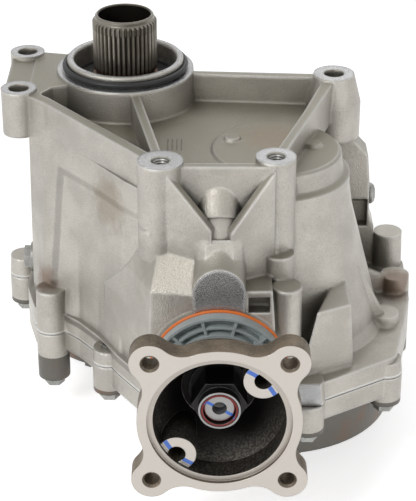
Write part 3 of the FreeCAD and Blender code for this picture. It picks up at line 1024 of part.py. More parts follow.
pilot_ring = turned("pilot_ring", [
    ("pilot_bore_radius", -1), ("pilot_radius", -1), ("pilot_radius", "o_ring_height - o_ring_section - 0.2"),
    ("pilot_radius - o_ring_groove_depth", "o_ring_height - o_ring_section - 0.2"),
    ("pilot_radius - o_ring_groove_depth", "o_ring_height + o_ring_section + 0.2"),
    ("pilot_radius", "o_ring_height + o_ring_section + 0.2"), ("pilot_radius", "pilot_height - 0.8"),
    ("pilot_radius - 0.8", "pilot_height"), ("pilot_bore_radius + 0.8", "pilot_height"),
    ("pilot_bore_radius", "pilot_height - 0.8")])
shell_solid = fused("housing_solid", *shell)
trimmed = cut("housing_trimmed", shell_solid, cut("below_but_nose", below, nose_front), before_nose)
hollowed = cut("housing_hollowed", trimmed, *inside)
finish("main_housing", fused("main_housing_part", hollowed, pilot_ring))

# Cover
SEAL_TOP = "-parting_depth"
COVER_TOP = "(-parting_depth - seal_line)"
COVER_FOOT = "(-parting_depth - seal_line - cover_flange)"
cover_plate = padded("cover_plate", flange_corners, COVER_FOOT, COVER_TOP, "flange_rounding")
cover_shell = [
    cover_plate,
    cone("input_tub", 0, 0, "-cover_roof_depth - cover_wall", COVER_TOP, f"{INPUT_TIP} + 3",
         f"{INPUT_TIP} + 3 + cover_wall"),
    cone("transfer_tub", TRANSFER_X, TRANSFER_Y, "-cover_roof_depth - cover_wall", COVER_TOP,
         f"{TRANSFER_TIP} + 2", f"{TRANSFER_TIP} + 1.5 + cover_wall"),
    rail("tub_bridge", ("0", "0"), (TRANSFER_X, TRANSFER_Y), "-cover_roof_depth - cover_wall", COVER_FOOT,
         f"2 * {INPUT_TIP}"),
    cone("input_foot", 0, 0, "-rest_depth", "-cover_roof_depth", "pilot_bore_radius + tunnel_wall",
         "pilot_bore_radius + tunnel_wall + 3"),
    cone("transfer_foot", TRANSFER_X, TRANSFER_Y, "-rest_depth", "-cover_roof_depth",
         "transfer_lower_radius + tunnel_wall", "transfer_lower_radius + tunnel_wall + 3"),
]
for key in FLANGE_NAMES:
    cover_shell.append(cylinder(f"cover_boss_{key}", f"bolt_{key}_x", f"bolt_{key}_y", f"-bolt_{key}_foot",
                                COVER_TOP, "bolt_boss_radius"))
rib_low = "-cover_roof_depth - cover_wall - 6"
for index, (centre_x, centre_y, reach, first, turns) in enumerate((
        ("0", "0", f"({INPUT_TIP} - 2)", 60, 6), (TRANSFER_X, TRANSFER_Y, f"({TRANSFER_TIP} - 6)", -150, 7))):
    for turn_index in range(turns):
        angle = first + 36 * turn_index
        far = (f"{centre_x} + {reach} * cos({angle} deg)", f"{centre_y} + {reach} * sin({angle} deg)")
        cover_shell.append(rail(f"cover_rib_{index}_{turn_index}", (centre_x, centre_y), far, rib_low,
                                "-cover_roof_depth", "rib_thickness - 1"))
cover_inside = [
    cylinder("input_gear_room", 0, 0, "-cover_roof_depth", "-parting_depth + 1", f"{INPUT_TIP} + 2"),
    cylinder("transfer_gear_room", TRANSFER_X, TRANSFER_Y, "-cover_roof_depth", "-parting_depth + 1",
             f"{TRANSFER_TIP} + 1"),
    cylinder("input_lower_bore", 0, 0, "-lower_bearing_depth - lower_bearing_width", "-cover_roof_depth + 1",
             "pilot_bore_radius"),
    cylinder("seal_bore", 0, 0, "-rest_depth - 1", "-lower_bearing_depth", "halfshaft_seal_radius"),
    cylinder("transfer_lower_bore", TRANSFER_X, TRANSFER_Y, "-lower_bearing_depth - lower_bearing_width - 1.5",
             "-cover_roof_depth + 1", "transfer_lower_radius"),
    pinion_cylinder("nose_saddle", "nose_under_start", "nose_face + 60", "nose_radius + seal_line"),
    pinion_cylinder("pinion_clearance", 30, "head_bearing_start", "head_bearing_radius - 1.5"),
    box("cover_before_nose", f"{PINION_X} - nose_radius + 2", f"{TRANSFER_Y} - nose_face - 60", -400,
        "2 * nose_radius - 2", "nose_face + 60 - carrier_start", 400),
]
for key, (x, y) in DOWELS.items():
    cover_inside.append(cylinder(f"cover_dowel_{key}", x, y, "-parting_depth - dowel_length / 2 - 0.5",
                                 "-parting_depth", "dowel_radius + seat_gap"))
cover_inside.append(cylinder("drain_hole", *DRAIN_PLACE[:2], "-cover_roof_depth - cover_wall - 2",
                             "-cover_roof_depth + 1", "drain_plug_radius + seat_gap"))
for key in FLANGE_NAMES:
    cover_inside.append(cylinder(f"cover_hole_{key}", f"bolt_{key}_x", f"bolt_{key}_y", f"-bolt_{key}_foot - 1",
                                 "-parting_depth", "bolt_radius + bolt_hole_gap"))
finish("gear_cover", cut("gear_cover_part", fused("cover_solid", *cover_shell), *cover_inside))

# Sealant between the flanges, and the casing bolts
sealant_plate = padded("sealant_plate", flange_corners, COVER_TOP, SEAL_TOP, "flange_rounding")
sealant_holes = [
    padded("sealant_middle", room_corners, COVER_TOP, SEAL_TOP),
    cylinder("sealant_input", 0, 0, COVER_TOP, SEAL_TOP, f"{INPUT_TIP} + 2"),
    cylinder("sealant_transfer", TRANSFER_X, TRANSFER_Y, COVER_TOP, SEAL_TOP, f"{TRANSFER_TIP} + 1"),
    pinion_cylinder("sealant_nose", "nose_under_start", "nose_face + 60", "nose_radius + seal_line"),
    rail("sealant_bridge", ("0", "0"), (TRANSFER_X, TRANSFER_Y), COVER_TOP, SEAL_TOP, f"1.3 * {INPUT_TIP}"),
    pinion_cylinder("sealant_pinion", 30, "head_bearing_start", "head_bearing_radius - 1.5"),
]
for key in FLANGE_NAMES:
    sealant_holes.append(cylinder(f"sealant_hole_{key}", f"bolt_{key}_x", f"bolt_{key}_y", COVER_TOP, SEAL_TOP,
                                  "bolt_radius + bolt_hole_gap"))
for key, (x, y) in DOWELS.items():
    sealant_holes.append(cylinder(f"sealant_dowel_{key}", x, y, COVER_TOP, SEAL_TOP, "dowel_radius + seat_gap"))
finish("cover_sealant", cut("cover_sealant_part", sealant_plate, *sealant_holes))
cover_bolts = []
for key in FLANGE_NAMES:
    low = value(f"-bolt_{key}_foot")
    reach = value("-parting_depth + bolt_reach")
    cover_bolts.append(hexagon_bolt(value("bolt_radius"), reach - low, value("bolt_head_radius"),
                                    value("bolt_head_height"), value(f"bolt_{key}_x"), value(f"bolt_{key}_y"),
                                    low, False))
finish("cover_bolts", shaped("cover_bolt_set", Part.makeCompound(cover_bolts)))

# Plugs, dowels and breather
def plug(name, x, y, z, radius, head, reach, turn):
    """Screwed plug with a flange, a hexagon head and a sunk centre, turned to face its wall."""
    body = Part.makeCylinder(radius, reach)
    flange = Part.makeCylinder(head, 2.5, FreeCAD.Vector(0, 0, reach))
    corners = [FreeCAD.Vector(head * 0.85 * math.cos(math.pi * side / 3),
                              head * 0.85 * math.sin(math.pi * side / 3), reach + 2.5) for side in range(6)]
    hexagon = Part.Face(Part.makePolygon(corners + corners[:1])).extrude(FreeCAD.Vector(0, 0, 4.5))
    solid = body.fuse([flange, hexagon]).removeSplitter()
    solid = solid.cut(Part.makeCylinder(head * 0.4, 3, FreeCAD.Vector(0, 0, reach + 5)))
    item = shaped(name, solid)
    item.Placement.Rotation = turn
    return place(item, x, y, z)


fill = plug("fill_plug_part", *FILL_PLACE, value("fill_plug_radius"), value("plug_head"),
            value("housing_wall + seat_gap"), PLUG_TURN)
finish("fill_plug", fill)
drain = plug("drain_plug_part", *DRAIN_PLACE, value("drain_plug_radius"), value("plug_head") - 2,
             value("cover_wall + seat_gap"), FreeCAD.Rotation(FreeCAD.Vector(1, 0, 0), 180))
finish("drain_plug", drain)
dowels = []
for x, y in DOWELS.values():
    dowels.append(Part.makeCylinder(value("dowel_radius"), value("dowel_length"),
                                    FreeCAD.Vector(value(x), value(y), value("-parting_depth - dowel_length / 2"))))
finish("cover_dowels", shaped("dowel_set", Part.makeCompound(dowels)))
breather = turned("breather_turned", [
    (0, "-breather_stem"), ("mount_tap_radius - seat_gap", "-breather_stem"), ("mount_tap_radius - seat_gap", 0.1),
    ("breather_cap_radius - 1", 0.1), ("breather_cap_radius", 1), ("breather_cap_radius", 2.2),
    ("breather_cap_radius - 1.5", 4), ("breather_cap_radius / 2", 4.8), (0, 5)])
breather.Placement.Rotation = BREATHER_TURN
finish("breather", place(breather, *BREATHER_PLACE))


# Write every sub-part
doc.recompute()
faults = [item.Name for item in doc.Objects if "Invalid" in item.State or "Error" in item.State]
if faults:
    raise RuntimeError(f"objects that failed: {faults}")
os.makedirs("parts", exist_ok=True)
for label, item in parts.items():
    if item.Shape.isNull() or not item.Shape.isValid():
        raise RuntimeError(f"{label} has no valid shape")
    item.Shape.exportStep(f"parts/{label}.step")
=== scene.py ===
import math

import bpy
import numpy as np
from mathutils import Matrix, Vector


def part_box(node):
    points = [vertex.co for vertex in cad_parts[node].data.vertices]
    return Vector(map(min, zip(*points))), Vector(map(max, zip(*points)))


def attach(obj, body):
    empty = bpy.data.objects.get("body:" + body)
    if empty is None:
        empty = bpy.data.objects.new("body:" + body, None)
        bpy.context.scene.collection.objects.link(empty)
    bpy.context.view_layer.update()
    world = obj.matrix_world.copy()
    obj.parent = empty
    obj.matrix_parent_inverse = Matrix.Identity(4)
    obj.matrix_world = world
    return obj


bl_info = {
    "name": "Power transfer unit",
    "version": (1, 0, 0),
    "blender": (4, 5, 0),
    "location": "3D View > Sidebar > Power transfer unit",
    "description": "Finishes and fine detail for a cast power transfer unit, on its CAD frame",
    "category": "Object",
}

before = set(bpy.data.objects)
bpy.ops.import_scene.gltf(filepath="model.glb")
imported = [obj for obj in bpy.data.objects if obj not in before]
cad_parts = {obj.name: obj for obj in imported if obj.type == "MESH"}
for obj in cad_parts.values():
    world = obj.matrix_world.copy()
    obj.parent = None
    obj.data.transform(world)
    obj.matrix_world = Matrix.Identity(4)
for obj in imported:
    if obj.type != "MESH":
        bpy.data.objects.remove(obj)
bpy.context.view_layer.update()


def centre_of(node):
    """Middle of a CAD node's box."""
    low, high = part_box(node)
    return (low + high) / 2


# Places in the part's own frame, in metres
TRANSFER = centre_of("transfer_shim")
FLANGE = centre_of("output_flange")
FLANGE_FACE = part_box("output_flange")[0].y
PARTING = centre_of("cover_sealant").z
SHAFT_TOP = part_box("input_shaft")[1].z
NOSE_REACH = 0.0987
NOSE_FACE = TRANSFER.y - NOSE_REACH
PAN_DROP = 0.0185
PAN_TOP = PARTING - PAN_DROP
UPPER_CUTS = (0.0, 0.008)
PAD_CIRCLE = 0.037
PAD_DEPTH = 0.0055
REGISTER_DEPTH = 0.0025
CUP_RADIUS = 0.0405
CUP_MOUTH = 0.0027
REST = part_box("gear_cover")[0].z
FRONT_THREADS = ((0.0275, -0.152), (0.099, -0.146))
THREAD_RADIUS = 0.0051
THREAD_TOP = -0.0005
THREAD_BOTTOM = -0.022
THREAD_COLUMNS = 48
ROWS_PER_PITCH = 6
OFF_THE_WALL = 0.00002

# Bands of the input shaft's finish, each from its start to where it is full
CREST_RADII = (0.0203, 0.0214)
COLLAR_RADII = (0.0180, 0.0186)
COLLAR_LEVELS = (SHAFT_TOP - 0.0105, SHAFT_TOP - 0.009)
FOOT_LEVELS = (0.0015, 0.0045)

# Stripes and fine lines, by half their width
PAD_STRIPE = 0.0014
END_STRIPE = 0.0012
END_STRIPE_SLOPE = 0.6
END_STRIPE_REACH = 0.0105
FLASH_LINE = 0.0006
FLASH_RISE = 0.0013

# Turned faces: the pitch of their rings, and how far their edges look rounded
TURNING_FEED = 0.0006
FLANGE_FEED = 0.0005
TURNED_EDGE = 0.0004


class PTU_PG_sizes(bpy.types.PropertyGroup):
    """Sizes of the fine detail that is added to the CAD frame."""

    cast_edge: bpy.props.FloatProperty(
        name="Cast edge", description="Radius by which the casting's edges look rounded",
        default=0.0030, min=0.0, unit="LENGTH")
    machined_edge: bpy.props.FloatProperty(
        name="Machined edge", description="Radius by which the edges of the pinion's end look rounded",
        default=0.0005, min=0.0, unit="LENGTH")
    thread_pitch: bpy.props.FloatProperty(
        name="Thread pitch", description="Pitch of the threads in the two front bosses",
        default=0.00175, min=0.0005, unit="LENGTH")
    thread_depth: bpy.props.FloatProperty(
        name="Thread depth", description="Height of those threads over their wall",
        default=0.0009, min=0.0001, unit="LENGTH")
    floor_reach: bpy.props.FloatProperty(
        name="Floor reach", description="Half the width of the studio floor",
        default=6.0, min=1.0, unit="LENGTH")


class PTU_PG_colours(bpy.types.PropertyGroup):
    """Base colours of the finishes."""

    casting: bpy.props.FloatVectorProperty(
        name="Casting", description="Blasted aluminium casting", subtype="COLOR", size=3,
        default=(0.50, 0.475, 0.43), min=0.0, max=1.0)
    # Painted shade: the darker olive tone laid on faces that look up, where less light falls
    upward_shade_tone: bpy.props.FloatVectorProperty(
        name="Upward shade", description="Olive tone of the casting's upward faces", subtype="COLOR", size=3,
        default=(0.26, 0.243, 0.195), min=0.0, max=1.0)
    machined: bpy.props.FloatVectorProperty(
        name="Machined", description="Fresh cut faces of the casting", subtype="COLOR", size=3,
        default=(0.50, 0.50, 0.50), min=0.0, max=1.0)
    # Used for the painted shade in the casting's corners, and also for the dark speckle and the scored marks
    dark_marks_and_shade: bpy.props.FloatVectorProperty(
        name="Recess", description="Dull tone deep in the casting's corners", subtype="COLOR", size=3,
        default=(0.13, 0.122, 0.10), min=0.0, max=1.0)
    forging: bpy.props.FloatVectorProperty(
        name="Forging", description="Raw sides of the output flange", subtype="COLOR", size=3,
        default=(0.155, 0.125, 0.092), min=0.0, max=1.0)
    flange_face: bpy.props.FloatVectorProperty(
        name="Flange face", description="Turned faces of the output flange", subtype="COLOR", size=3,
        default=(0.56, 0.52, 0.475), min=0.0, max=1.0)
    paint_mark: bpy.props.FloatVectorProperty(
        name="Paint mark", description="Blue checking stripes inside the flange", subtype="COLOR", size=3,
        default=(0.03, 0.13, 0.50), min=0.0, max=1.0)
    seal_trim: bpy.props.FloatVectorProperty(
        name="Seal trim", description="Orange ring in the seal carrier", subtype="COLOR", size=3,
        default=(0.80, 0.19, 0.03), min=0.0, max=1.0)
    carrier: bpy.props.FloatVectorProperty(
        name="Seal carrier", description="Bluish grey seal carrier", subtype="COLOR", size=3,
        default=(0.42, 0.47, 0.47), min=0.0, max=1.0)
    floor: bpy.props.FloatVectorProperty(
        name="Floor", description="Studio floor and backdrop", subtype="COLOR", size=3,
        default=(0.92, 0.92, 0.92), min=0.0, max=1.0)


# Directions
ORIGIN = (0.0, 0.0, 0.0)
UP = (0.0, 0.0, 1.0)
DOWN = (0.0, 0.0, -1.0)
FRONT = (0.0, -1.0, 0.0)
ALONG_PINION = (0.0, 1.0, 0.0)
WALL = (-0.79, -0.61, 0.0)

# Stains of the casting: centre, radius and colour
BROWN = (0.14, 0.07, 0.035)
SMEAR = (0.27, 0.215, 0.155)
OIL = (0.035, 0.026, 0.018)
DULL = (0.29, 0.27, 0.235)
STAINS = (
    ((0.187, -0.066, -0.131), 0.018, BROWN),
    ((-0.055, -0.080, -0.126), 0.018, BROWN),
    ((-0.004, -0.118, -0.046), 0.024, SMEAR),
    ((-0.058, 0.020, -0.110), 0.014, BROWN),
    ((0.0, 0.0, -0.012), 0.046, OIL),
    ((0.100, -0.075, -0.024), 0.030, SMEAR),
    ((0.0355, -0.165, -0.072), 0.034, DULL),
)

# Raised panel of the slanted wall, and the scored marks in the tray
WALL_PANEL = {"Facing": WALL, "Left": -0.0373, "Lean": 0.085, "Top": -0.043, "Foot": -0.145, "Soft": 0.003}
PANEL_RISE = 0.004
TRAY_SCORES = {"Low": (0.030, -0.090, -0.040), "High": (0.042, -0.072, -0.015), "Pitch": 0.003}

# Stage: the camera, the strengths of floor and world, and the lamps
WHITE = (1.0, 1.0, 1.0)
CAMERA_PLACE = (0.056976, -1.121804, 0.452817)
CAMERA_TILT = math.radians(62)
CAMERA_LENS = 125.03
SENSOR_WIDTH = 36.0
FLOOR_GAP = 0.0002
FLOOR_GLOW = 0.68
WORLD_LIGHT = 0.27

# Lamps: name, place, target, size in metres and power in watts
LAMPS = (
    ("key_lamp", (-0.85, -1.15, 0.95), (0.05, -0.1, -0.1), 0.7, 13.5),
    ("fill_lamp", (1.2, -1.2, 0.35), (0.05, -0.1, -0.1), 0.9, 2.6),
    ("back_lamp", (0.5, 1.2, 1.3), (0.05, -0.05, -0.05), 0.9, 4.2),
)


# Node helpers
def put(tree, kind, inputs=None, **settings):
    """Add a node: inputs maps a socket to a number, a colour or another node's output."""
    node = tree.nodes.new(kind)
    for key, setting in settings.items():
        setattr(node, key, setting)
    for key, given in (inputs or {}).items():
        if isinstance(given, bpy.types.NodeSocket):
            tree.links.new(given, node.inputs[key])
        else:
            node.inputs[key].default_value = given
    return node


def math_node(tree, operation, first, second=0.0, clamp=False):
    """One arithmetic step between sockets or numbers."""
    return put(tree, "ShaderNodeMath", {0: first, 1: second}, operation=operation, use_clamp=clamp).outputs[0]


def times(tree, first, second, clamp=False):
    """Product of two sockets or numbers."""
    return math_node(tree, "MULTIPLY", first, second, clamp)


def plus(tree, first, second, clamp=False):
    """Sum of two sockets or numbers."""
    return math_node(tree, "ADD", first, second, clamp)


def minus(tree, first, second, clamp=False):
    """Difference of two sockets or numbers."""
    return math_node(tree, "SUBTRACT", first, second, clamp)


def is_less(tree, first, second):
    """1 where the first is less than the second, 0 elsewhere."""
    return math_node(tree, "LESS_THAN", first, second)


def is_more(tree, first, second):
    """1 where the first is more than the second, 0 elsewhere."""
    return math_node(tree, "GREATER_THAN", first, second)


def is_near(tree, source, level, reach):
    """1 where a value lies within a reach of a level, 0 elsewhere."""
    return is_less(tree, math_node(tree, "ABSOLUTE", minus(tree, source, level)), reach)


def from_axis(tree, across, up):
    """Distance from an axis, by the two coordinates across it."""
    return math_node(tree, "SQRT", plus(tree, times(tree, across, across), times(tree, up, up)))


def xyz(tree, vector):
    """The three coordinates of a vector."""
    return put(tree, "ShaderNodeSeparateXYZ", {0: vector}).outputs


def vector_step(tree, operation, first, second=None):
    """Outputs of one step between vectors."""
    inputs = {0: first} if second is None else {0: first, 1: second}
    return put(tree, "ShaderNodeVectorMath", inputs, operation=operation).outputs


def true_normal(tree):
    """Normal of the flat face."""
    return put(tree, "ShaderNodeNewGeometry").outputs["True Normal"]


def noise(tree, place, scale, detail, roughness=0.5):
    """Cloudy noise between 0 and 1."""
    inputs = {"Vector": place, "Scale": scale, "Detail": detail, "Roughness": roughness}
    return put(tree, "ShaderNodeTexNoise", inputs).outputs[0]


def shade(colour, factor):
    """A colour made darker or lighter by a factor."""
    return tuple(part * factor for part in colour)


def blend_colour(tree, share, under, over):
    """Lay one colour over another by a share."""
    node = put(tree, "ShaderNodeMix", {"Factor": share}, data_type="RGBA")
    for socket, given in ((node.inputs[6], under), (node.inputs[7], over)):
        if isinstance(given, bpy.types.NodeSocket):
            tree.links.new(given, socket)
        else:
            socket.default_value = (*given, 1.0)
    return node.outputs[2]


def ramp(tree, source, low, high):
    """Smooth step of a value from 0 at low to 1 at high."""
    return put(tree, "ShaderNodeMapRange", {"Value": source, "From Min": low, "From Max": high},
               interpolation_type="SMOOTHSTEP").outputs[0]


def seen_rays(tree):
    """1 for the rays that show the background: straight ones, and ones off metal or through glass."""
    rays = put(tree, "ShaderNodeLightPath").outputs
    mirrored = plus(tree, rays["Is Glossy Ray"], rays["Is Transmission Ray"])
    return plus(tree, rays["Is Camera Ray"], mirrored, clamp=True)


# Shared effects
def group(name, inputs, outputs):
    """Empty shader group with named sockets: (name, default) in, names out with a leading > for vectors."""
    tree = bpy.data.node_groups.new(name, "ShaderNodeTree")
    for label, default in inputs:
        kind = "NodeSocketVector" if isinstance(default, tuple) else "NodeSocketFloat"
        socket = tree.interface.new_socket(name=label, in_out="INPUT", socket_type=kind)
        socket.default_value = default
    for label in outputs:
        kind = "NodeSocketVector" if label.startswith(">") else "NodeSocketFloat"
        tree.interface.new_socket(name=label.strip(">"), in_out="OUTPUT", socket_type=kind)
    return tree, tree.nodes.new("NodeGroupInput").outputs, tree.nodes.new("NodeGroupOutput").inputs


def build_grain_group():
    """Blasted or cast skin: fine grains over slow waves, as a height and a tone."""
    inputs = [("Place", ORIGIN), ("Grain size", 0.0012), ("Wave size", 0.03)]
    tree, given, result = group("Metal grain", inputs, ["Height", "Tone"])
    grain_scale = math_node(tree, "DIVIDE", 1.0, given["Grain size"])
    wave_scale = math_node(tree, "DIVIDE", 1.0, given["Wave size"])
    fine = noise(tree, given["Place"], grain_scale, 3.0, 0.6)
    slow = noise(tree, given["Place"], wave_scale, 4.0, 0.55)
    tree.links.new(fine, result["Height"])
    tree.links.new(plus(tree, times(tree, fine, 0.35), times(tree, slow, 0.65)), result["Tone"])
    return tree


def build_edge_group():
    """Rounded edges: a normal that turns over an edge within a radius, and a mask of where it turns."""
    inputs = [("Radius", 0.002), ("Sharpness", 6.0)]
    tree, given, result = group("Rounded edges", inputs, [">Normal", "Edge"])
    turned = put(tree, "ShaderNodeBevel", {"Radius": given["Radius"]}, samples=4).outputs[0]
    flat = put(tree, "ShaderNodeNewGeometry").outputs["Normal"]
    along = vector_step(tree, "DOT_PRODUCT", turned, flat)["Value"]
    tree.links.new(turned, result["Normal"])
    tree.links.new(times(tree, minus(tree, 1.0, along), given["Sharpness"], clamp=True), result["Edge"])
    return tree


def build_level_group():
    """Faces that look one way and lie at one level: 1 on them, 0 elsewhere."""
    inputs = [("Place", ORIGIN), ("Direction", UP), ("Level", 0.0), ("Tolerance", 0.0004)]
    tree, given, result = group("Cut level", inputs, ["Mask"])
    height = vector_step(tree, "DOT_PRODUCT", given["Place"], given["Direction"])["Value"]
    near = is_near(tree, height, given["Level"], given["Tolerance"])
    facing = vector_step(tree, "DOT_PRODUCT", true_normal(tree), given["Direction"])["Value"]
    tree.links.new(times(tree, near, is_more(tree, facing, 0.95)), result["Mask"])
    return tree


def build_stain_group():
    """Stain: a round patch with a torn edge about a centre."""
    inputs = [("Place", ORIGIN), ("Centre", ORIGIN), ("Radius", 0.01)]
    tree, given, result = group("Stain", inputs, ["Mask"])
    away = vector_step(tree, "DISTANCE", given["Place"], given["Centre"])["Value"]
    torn = noise(tree, given["Place"], 160.0, 4.0)
    reach = times(tree, given["Radius"], plus(tree, torn, 0.4))
    mask = minus(tree, 1.0, math_node(tree, "DIVIDE", away, reach), clamp=True)
    tree.links.new(times(tree, mask, 2.0, clamp=True), result["Mask"])
    return tree


def build_turning_group():
    """Turning marks: fine rings about an axis through a centre, as a height."""
    inputs = [("Place", ORIGIN), ("Centre", ORIGIN), ("Axis", UP), ("Feed", TURNING_FEED)]
    tree, given, result = group("Turning marks", inputs, ["Height"])
    offset = vector_step(tree, "SUBTRACT", given["Place"], given["Centre"])[0]
    across = vector_step(tree, "CROSS_PRODUCT", offset, given["Axis"])[0]
    radius = vector_step(tree, "LENGTH", across)["Value"]
    line = put(tree, "ShaderNodeTexNoise", {"W": math_node(tree, "DIVIDE", radius, given["Feed"]),
                                            "Scale": 1.0, "Detail": 2.0}, noise_dimensions="1D").outputs[0]
    tree.links.new(line, result["Height"])
    return tree


def build_panel_group():
    """Raised panel of a wall: 1 within a leaning left edge, a level top and a level foot, softly bordered."""
    inputs = [("Place", ORIGIN), ("Facing", FRONT), ("Left", 0.0), ("Lean", 0.0), ("Top", 0.0), ("Foot", 0.0),
              ("Soft", 0.0)]
    tree, given, result = group("Raised panel", inputs, ["Height"])
    split = xyz(tree, given["Place"])
    leaning = times(tree, split[2], given["Lean"])
    left = minus(tree, minus(tree, split[0], leaning), given["Left"])
    top = minus(tree, given["Top"], split[2])
    foot = minus(tree, split[2], given["Foot"])
    within = math_node(tree, "MINIMUM", math_node(tree, "MINIMUM", left, top), foot)
    rise = ramp(tree, within, times(tree, given["Soft"], -1.0), given["Soft"])
    facing = vector_step(tree, "DOT_PRODUCT", true_normal(tree), given["Facing"])["Value"]
    tree.links.new(times(tree, rise, is_more(tree, facing, 0.9)), result["Height"])
    return tree


def build_score_group():
    """Scored marks: short dark strokes side by side along x, within a low and a high corner."""
    inputs = [("Place", ORIGIN), ("Low", ORIGIN), ("High", ORIGIN), ("Pitch", 0.0)]
    tree, given, result = group("Scored marks", inputs, ["Mask"])
    split = xyz(tree, given["Place"])
    low = xyz(tree, given["Low"])
    high = xyz(tree, given["High"])
    mask = 1.0
    for index in range(3):
        mask = times(tree, mask, is_more(tree, split[index], low[index]))
        mask = times(tree, mask, is_less(tree, split[index], high[index]))
    torn = noise(tree, given["Place"], 220.0, 2.0)
    turns = math_node(tree, "DIVIDE", minus(tree, split[0], low[0]), given["Pitch"])
    stroke = is_less(tree, math_node(tree, "FRACT", turns), times(tree, torn, 0.7))
    tree.links.new(times(tree, mask, stroke), result["Mask"])
    return tree


EFFECTS = {}


def effect(tree, name, inputs):
    """Place one of the shared groups in a material, for its outputs."""
    return put(tree, "ShaderNodeGroup", inputs, node_tree=EFFECTS[name]).outputs


# Finishes
def new_material(name):
    """Material with a Principled shader, and the object's own coordinates."""
    material = bpy.data.materials.new(name)
    material.use_nodes = True
    tree = material.node_tree
    shader = tree.nodes["Principled BSDF"]
    place = put(tree, "ShaderNodeTexCoord").outputs["Object"]
    return material, tree, shader, place


def feed(tree, shader, **sockets):
    """Set or link the shader's sockets; underscores stand for spaces."""
    for key, given in sockets.items():
        socket = shader.inputs[key.replace("_", " ")]
        if isinstance(given, bpy.types.NodeSocket):
            tree.links.new(given, socket)
        elif isinstance(given, tuple):
            socket.default_value = (*given, 1.0)
        else:
            socket.default_value = given


def bumped(tree, height, distance, strength, normal=None):
    """Normal from a height, over an earlier normal where one is given."""
    inputs = {"Height": height, "Distance": distance, "Strength": strength}
    if normal is not None:
        inputs["Normal"] = normal
    return put(tree, "ShaderNodeBump", inputs).outputs[0]


def casting_material(name, colours, sizes, levels, pan_top=None):
    """Blasted aluminium: pale upright faces, olive upward ones in painted shade, painted shade in the
    corners, worn edges with a painted highlight, cut faces, stains.

    Levels are the cut faces, each as a direction and how far along it they lie. Below pan_top, where it
    is given, the skin is painted dark as shade under the flange, with rust in patches.
    """
    material, tree, shader, place = new_material(name)
    grain = effect(tree, "grain", {"Place": place, "Grain size": 0.0009, "Wave size": 0.03})
    edges = effect(tree, "edge", {"Radius": sizes.cast_edge, "Sharpness": 5.0})
    facing = xyz(tree, edges["Normal"])[2]
    hollow = put(tree, "ShaderNodeAmbientOcclusion", {"Distance": 0.035}, samples=8,
                 only_local=True).outputs["AO"]
    height = xyz(tree, place)[2]
    # Painted shade: faces that look up turn towards the darker olive tone, less so low on the part
    fading = plus(tree, times(tree, ramp(tree, height, -0.11, -0.05), 0.7), 0.3)
    painted_upward_shade = times(tree, ramp(tree, facing, 0.30, 0.92), fading)
    colour = blend_colour(tree, painted_upward_shade, colours.casting, colours.upward_shade_tone)
    cloudy = ramp(tree, grain["Tone"], 0.40, 0.60)
    colour = blend_colour(tree, times(tree, cloudy, 0.42), colour, shade(colours.casting, 0.58))
    speckle = ramp(tree, grain["Height"], 0.54, 0.70)
    colour = blend_colour(tree, times(tree, speckle, 0.13), colour, colours.dark_marks_and_shade)
    # Painted shade: corners and hollows darken towards that colour by ambient occlusion
    deep = minus(tree, 1.0, ramp(tree, hollow, 0.12, 0.80))
    colour = blend_colour(tree, times(tree, deep, 0.85), colour, colours.dark_marks_and_shade)
    # Worn edges with a painted highlight: open convex edges lightened to a near-white tone
    worn_edge_and_highlight = times(tree, edges["Edge"], ramp(tree, hollow, 0.62, 0.95))
    colour = blend_colour(tree, times(tree, worn_edge_and_highlight, 0.8), colour, (0.72, 0.715, 0.69))
    flash = is_near(tree, height, PARTING + FLASH_RISE, FLASH_LINE)
    colour = blend_colour(tree, times(tree, flash, 0.7), colour, (0.78, 0.775, 0.75))
    scores = effect(tree, "score", {"Place": place, **TRAY_SCORES})[0]
    colour = blend_colour(tree, times(tree, scores, 0.8), colour, colours.dark_marks_and_shade)
    # Painted shade under the flange: below pan_top the skin turns dark, with rust in patches
    if pan_top is not None:
        below = is_less(tree, height, pan_top)
        rust = ramp(tree, grain["Tone"], 0.52, 0.64)
        shade_and_rust = blend_colour(tree, rust, (0.085, 0.08, 0.07), (0.16, 0.075, 0.03))
        colour = blend_colour(tree, times(tree, below, 0.85), colour, shade_and_rust)
    cut = None
    for direction, level in levels:
        mask = effect(tree, "level", {"Place": place, "Direction": direction, "Level": level})[0]
        cut = mask if cut is None else math_node(tree, "MAXIMUM", cut, mask)
    marks = blend_colour(tree, cloudy, colours.machined, shade(colours.machined, 0.80))
    colour = blend_colour(tree, cut, colour, marks)
    for centre, radius, stain in STAINS:
        spot = effect(tree, "stain", {"Place": place, "Centre": centre, "Radius": radius})[0]
        colour = blend_colour(tree, times(tree, spot, 0.6), colour, stain)
    rough = plus(tree, 0.26, times(tree, grain["Tone"], 0.22))
    rough = minus(tree, rough, times(tree, cut, 0.12))
    panel = effect(tree, "panel", {"Place": place, **WALL_PANEL})[0]
    normal = bumped(tree, panel, PANEL_RISE, 1.0, edges["Normal"])
    normal = bumped(tree, grain["Height"], 0.0005, 0.8, normal)
    feed(tree, shader, Base_Color=colour, Roughness=rough, Metallic=0.8, Normal=normal)
    return material


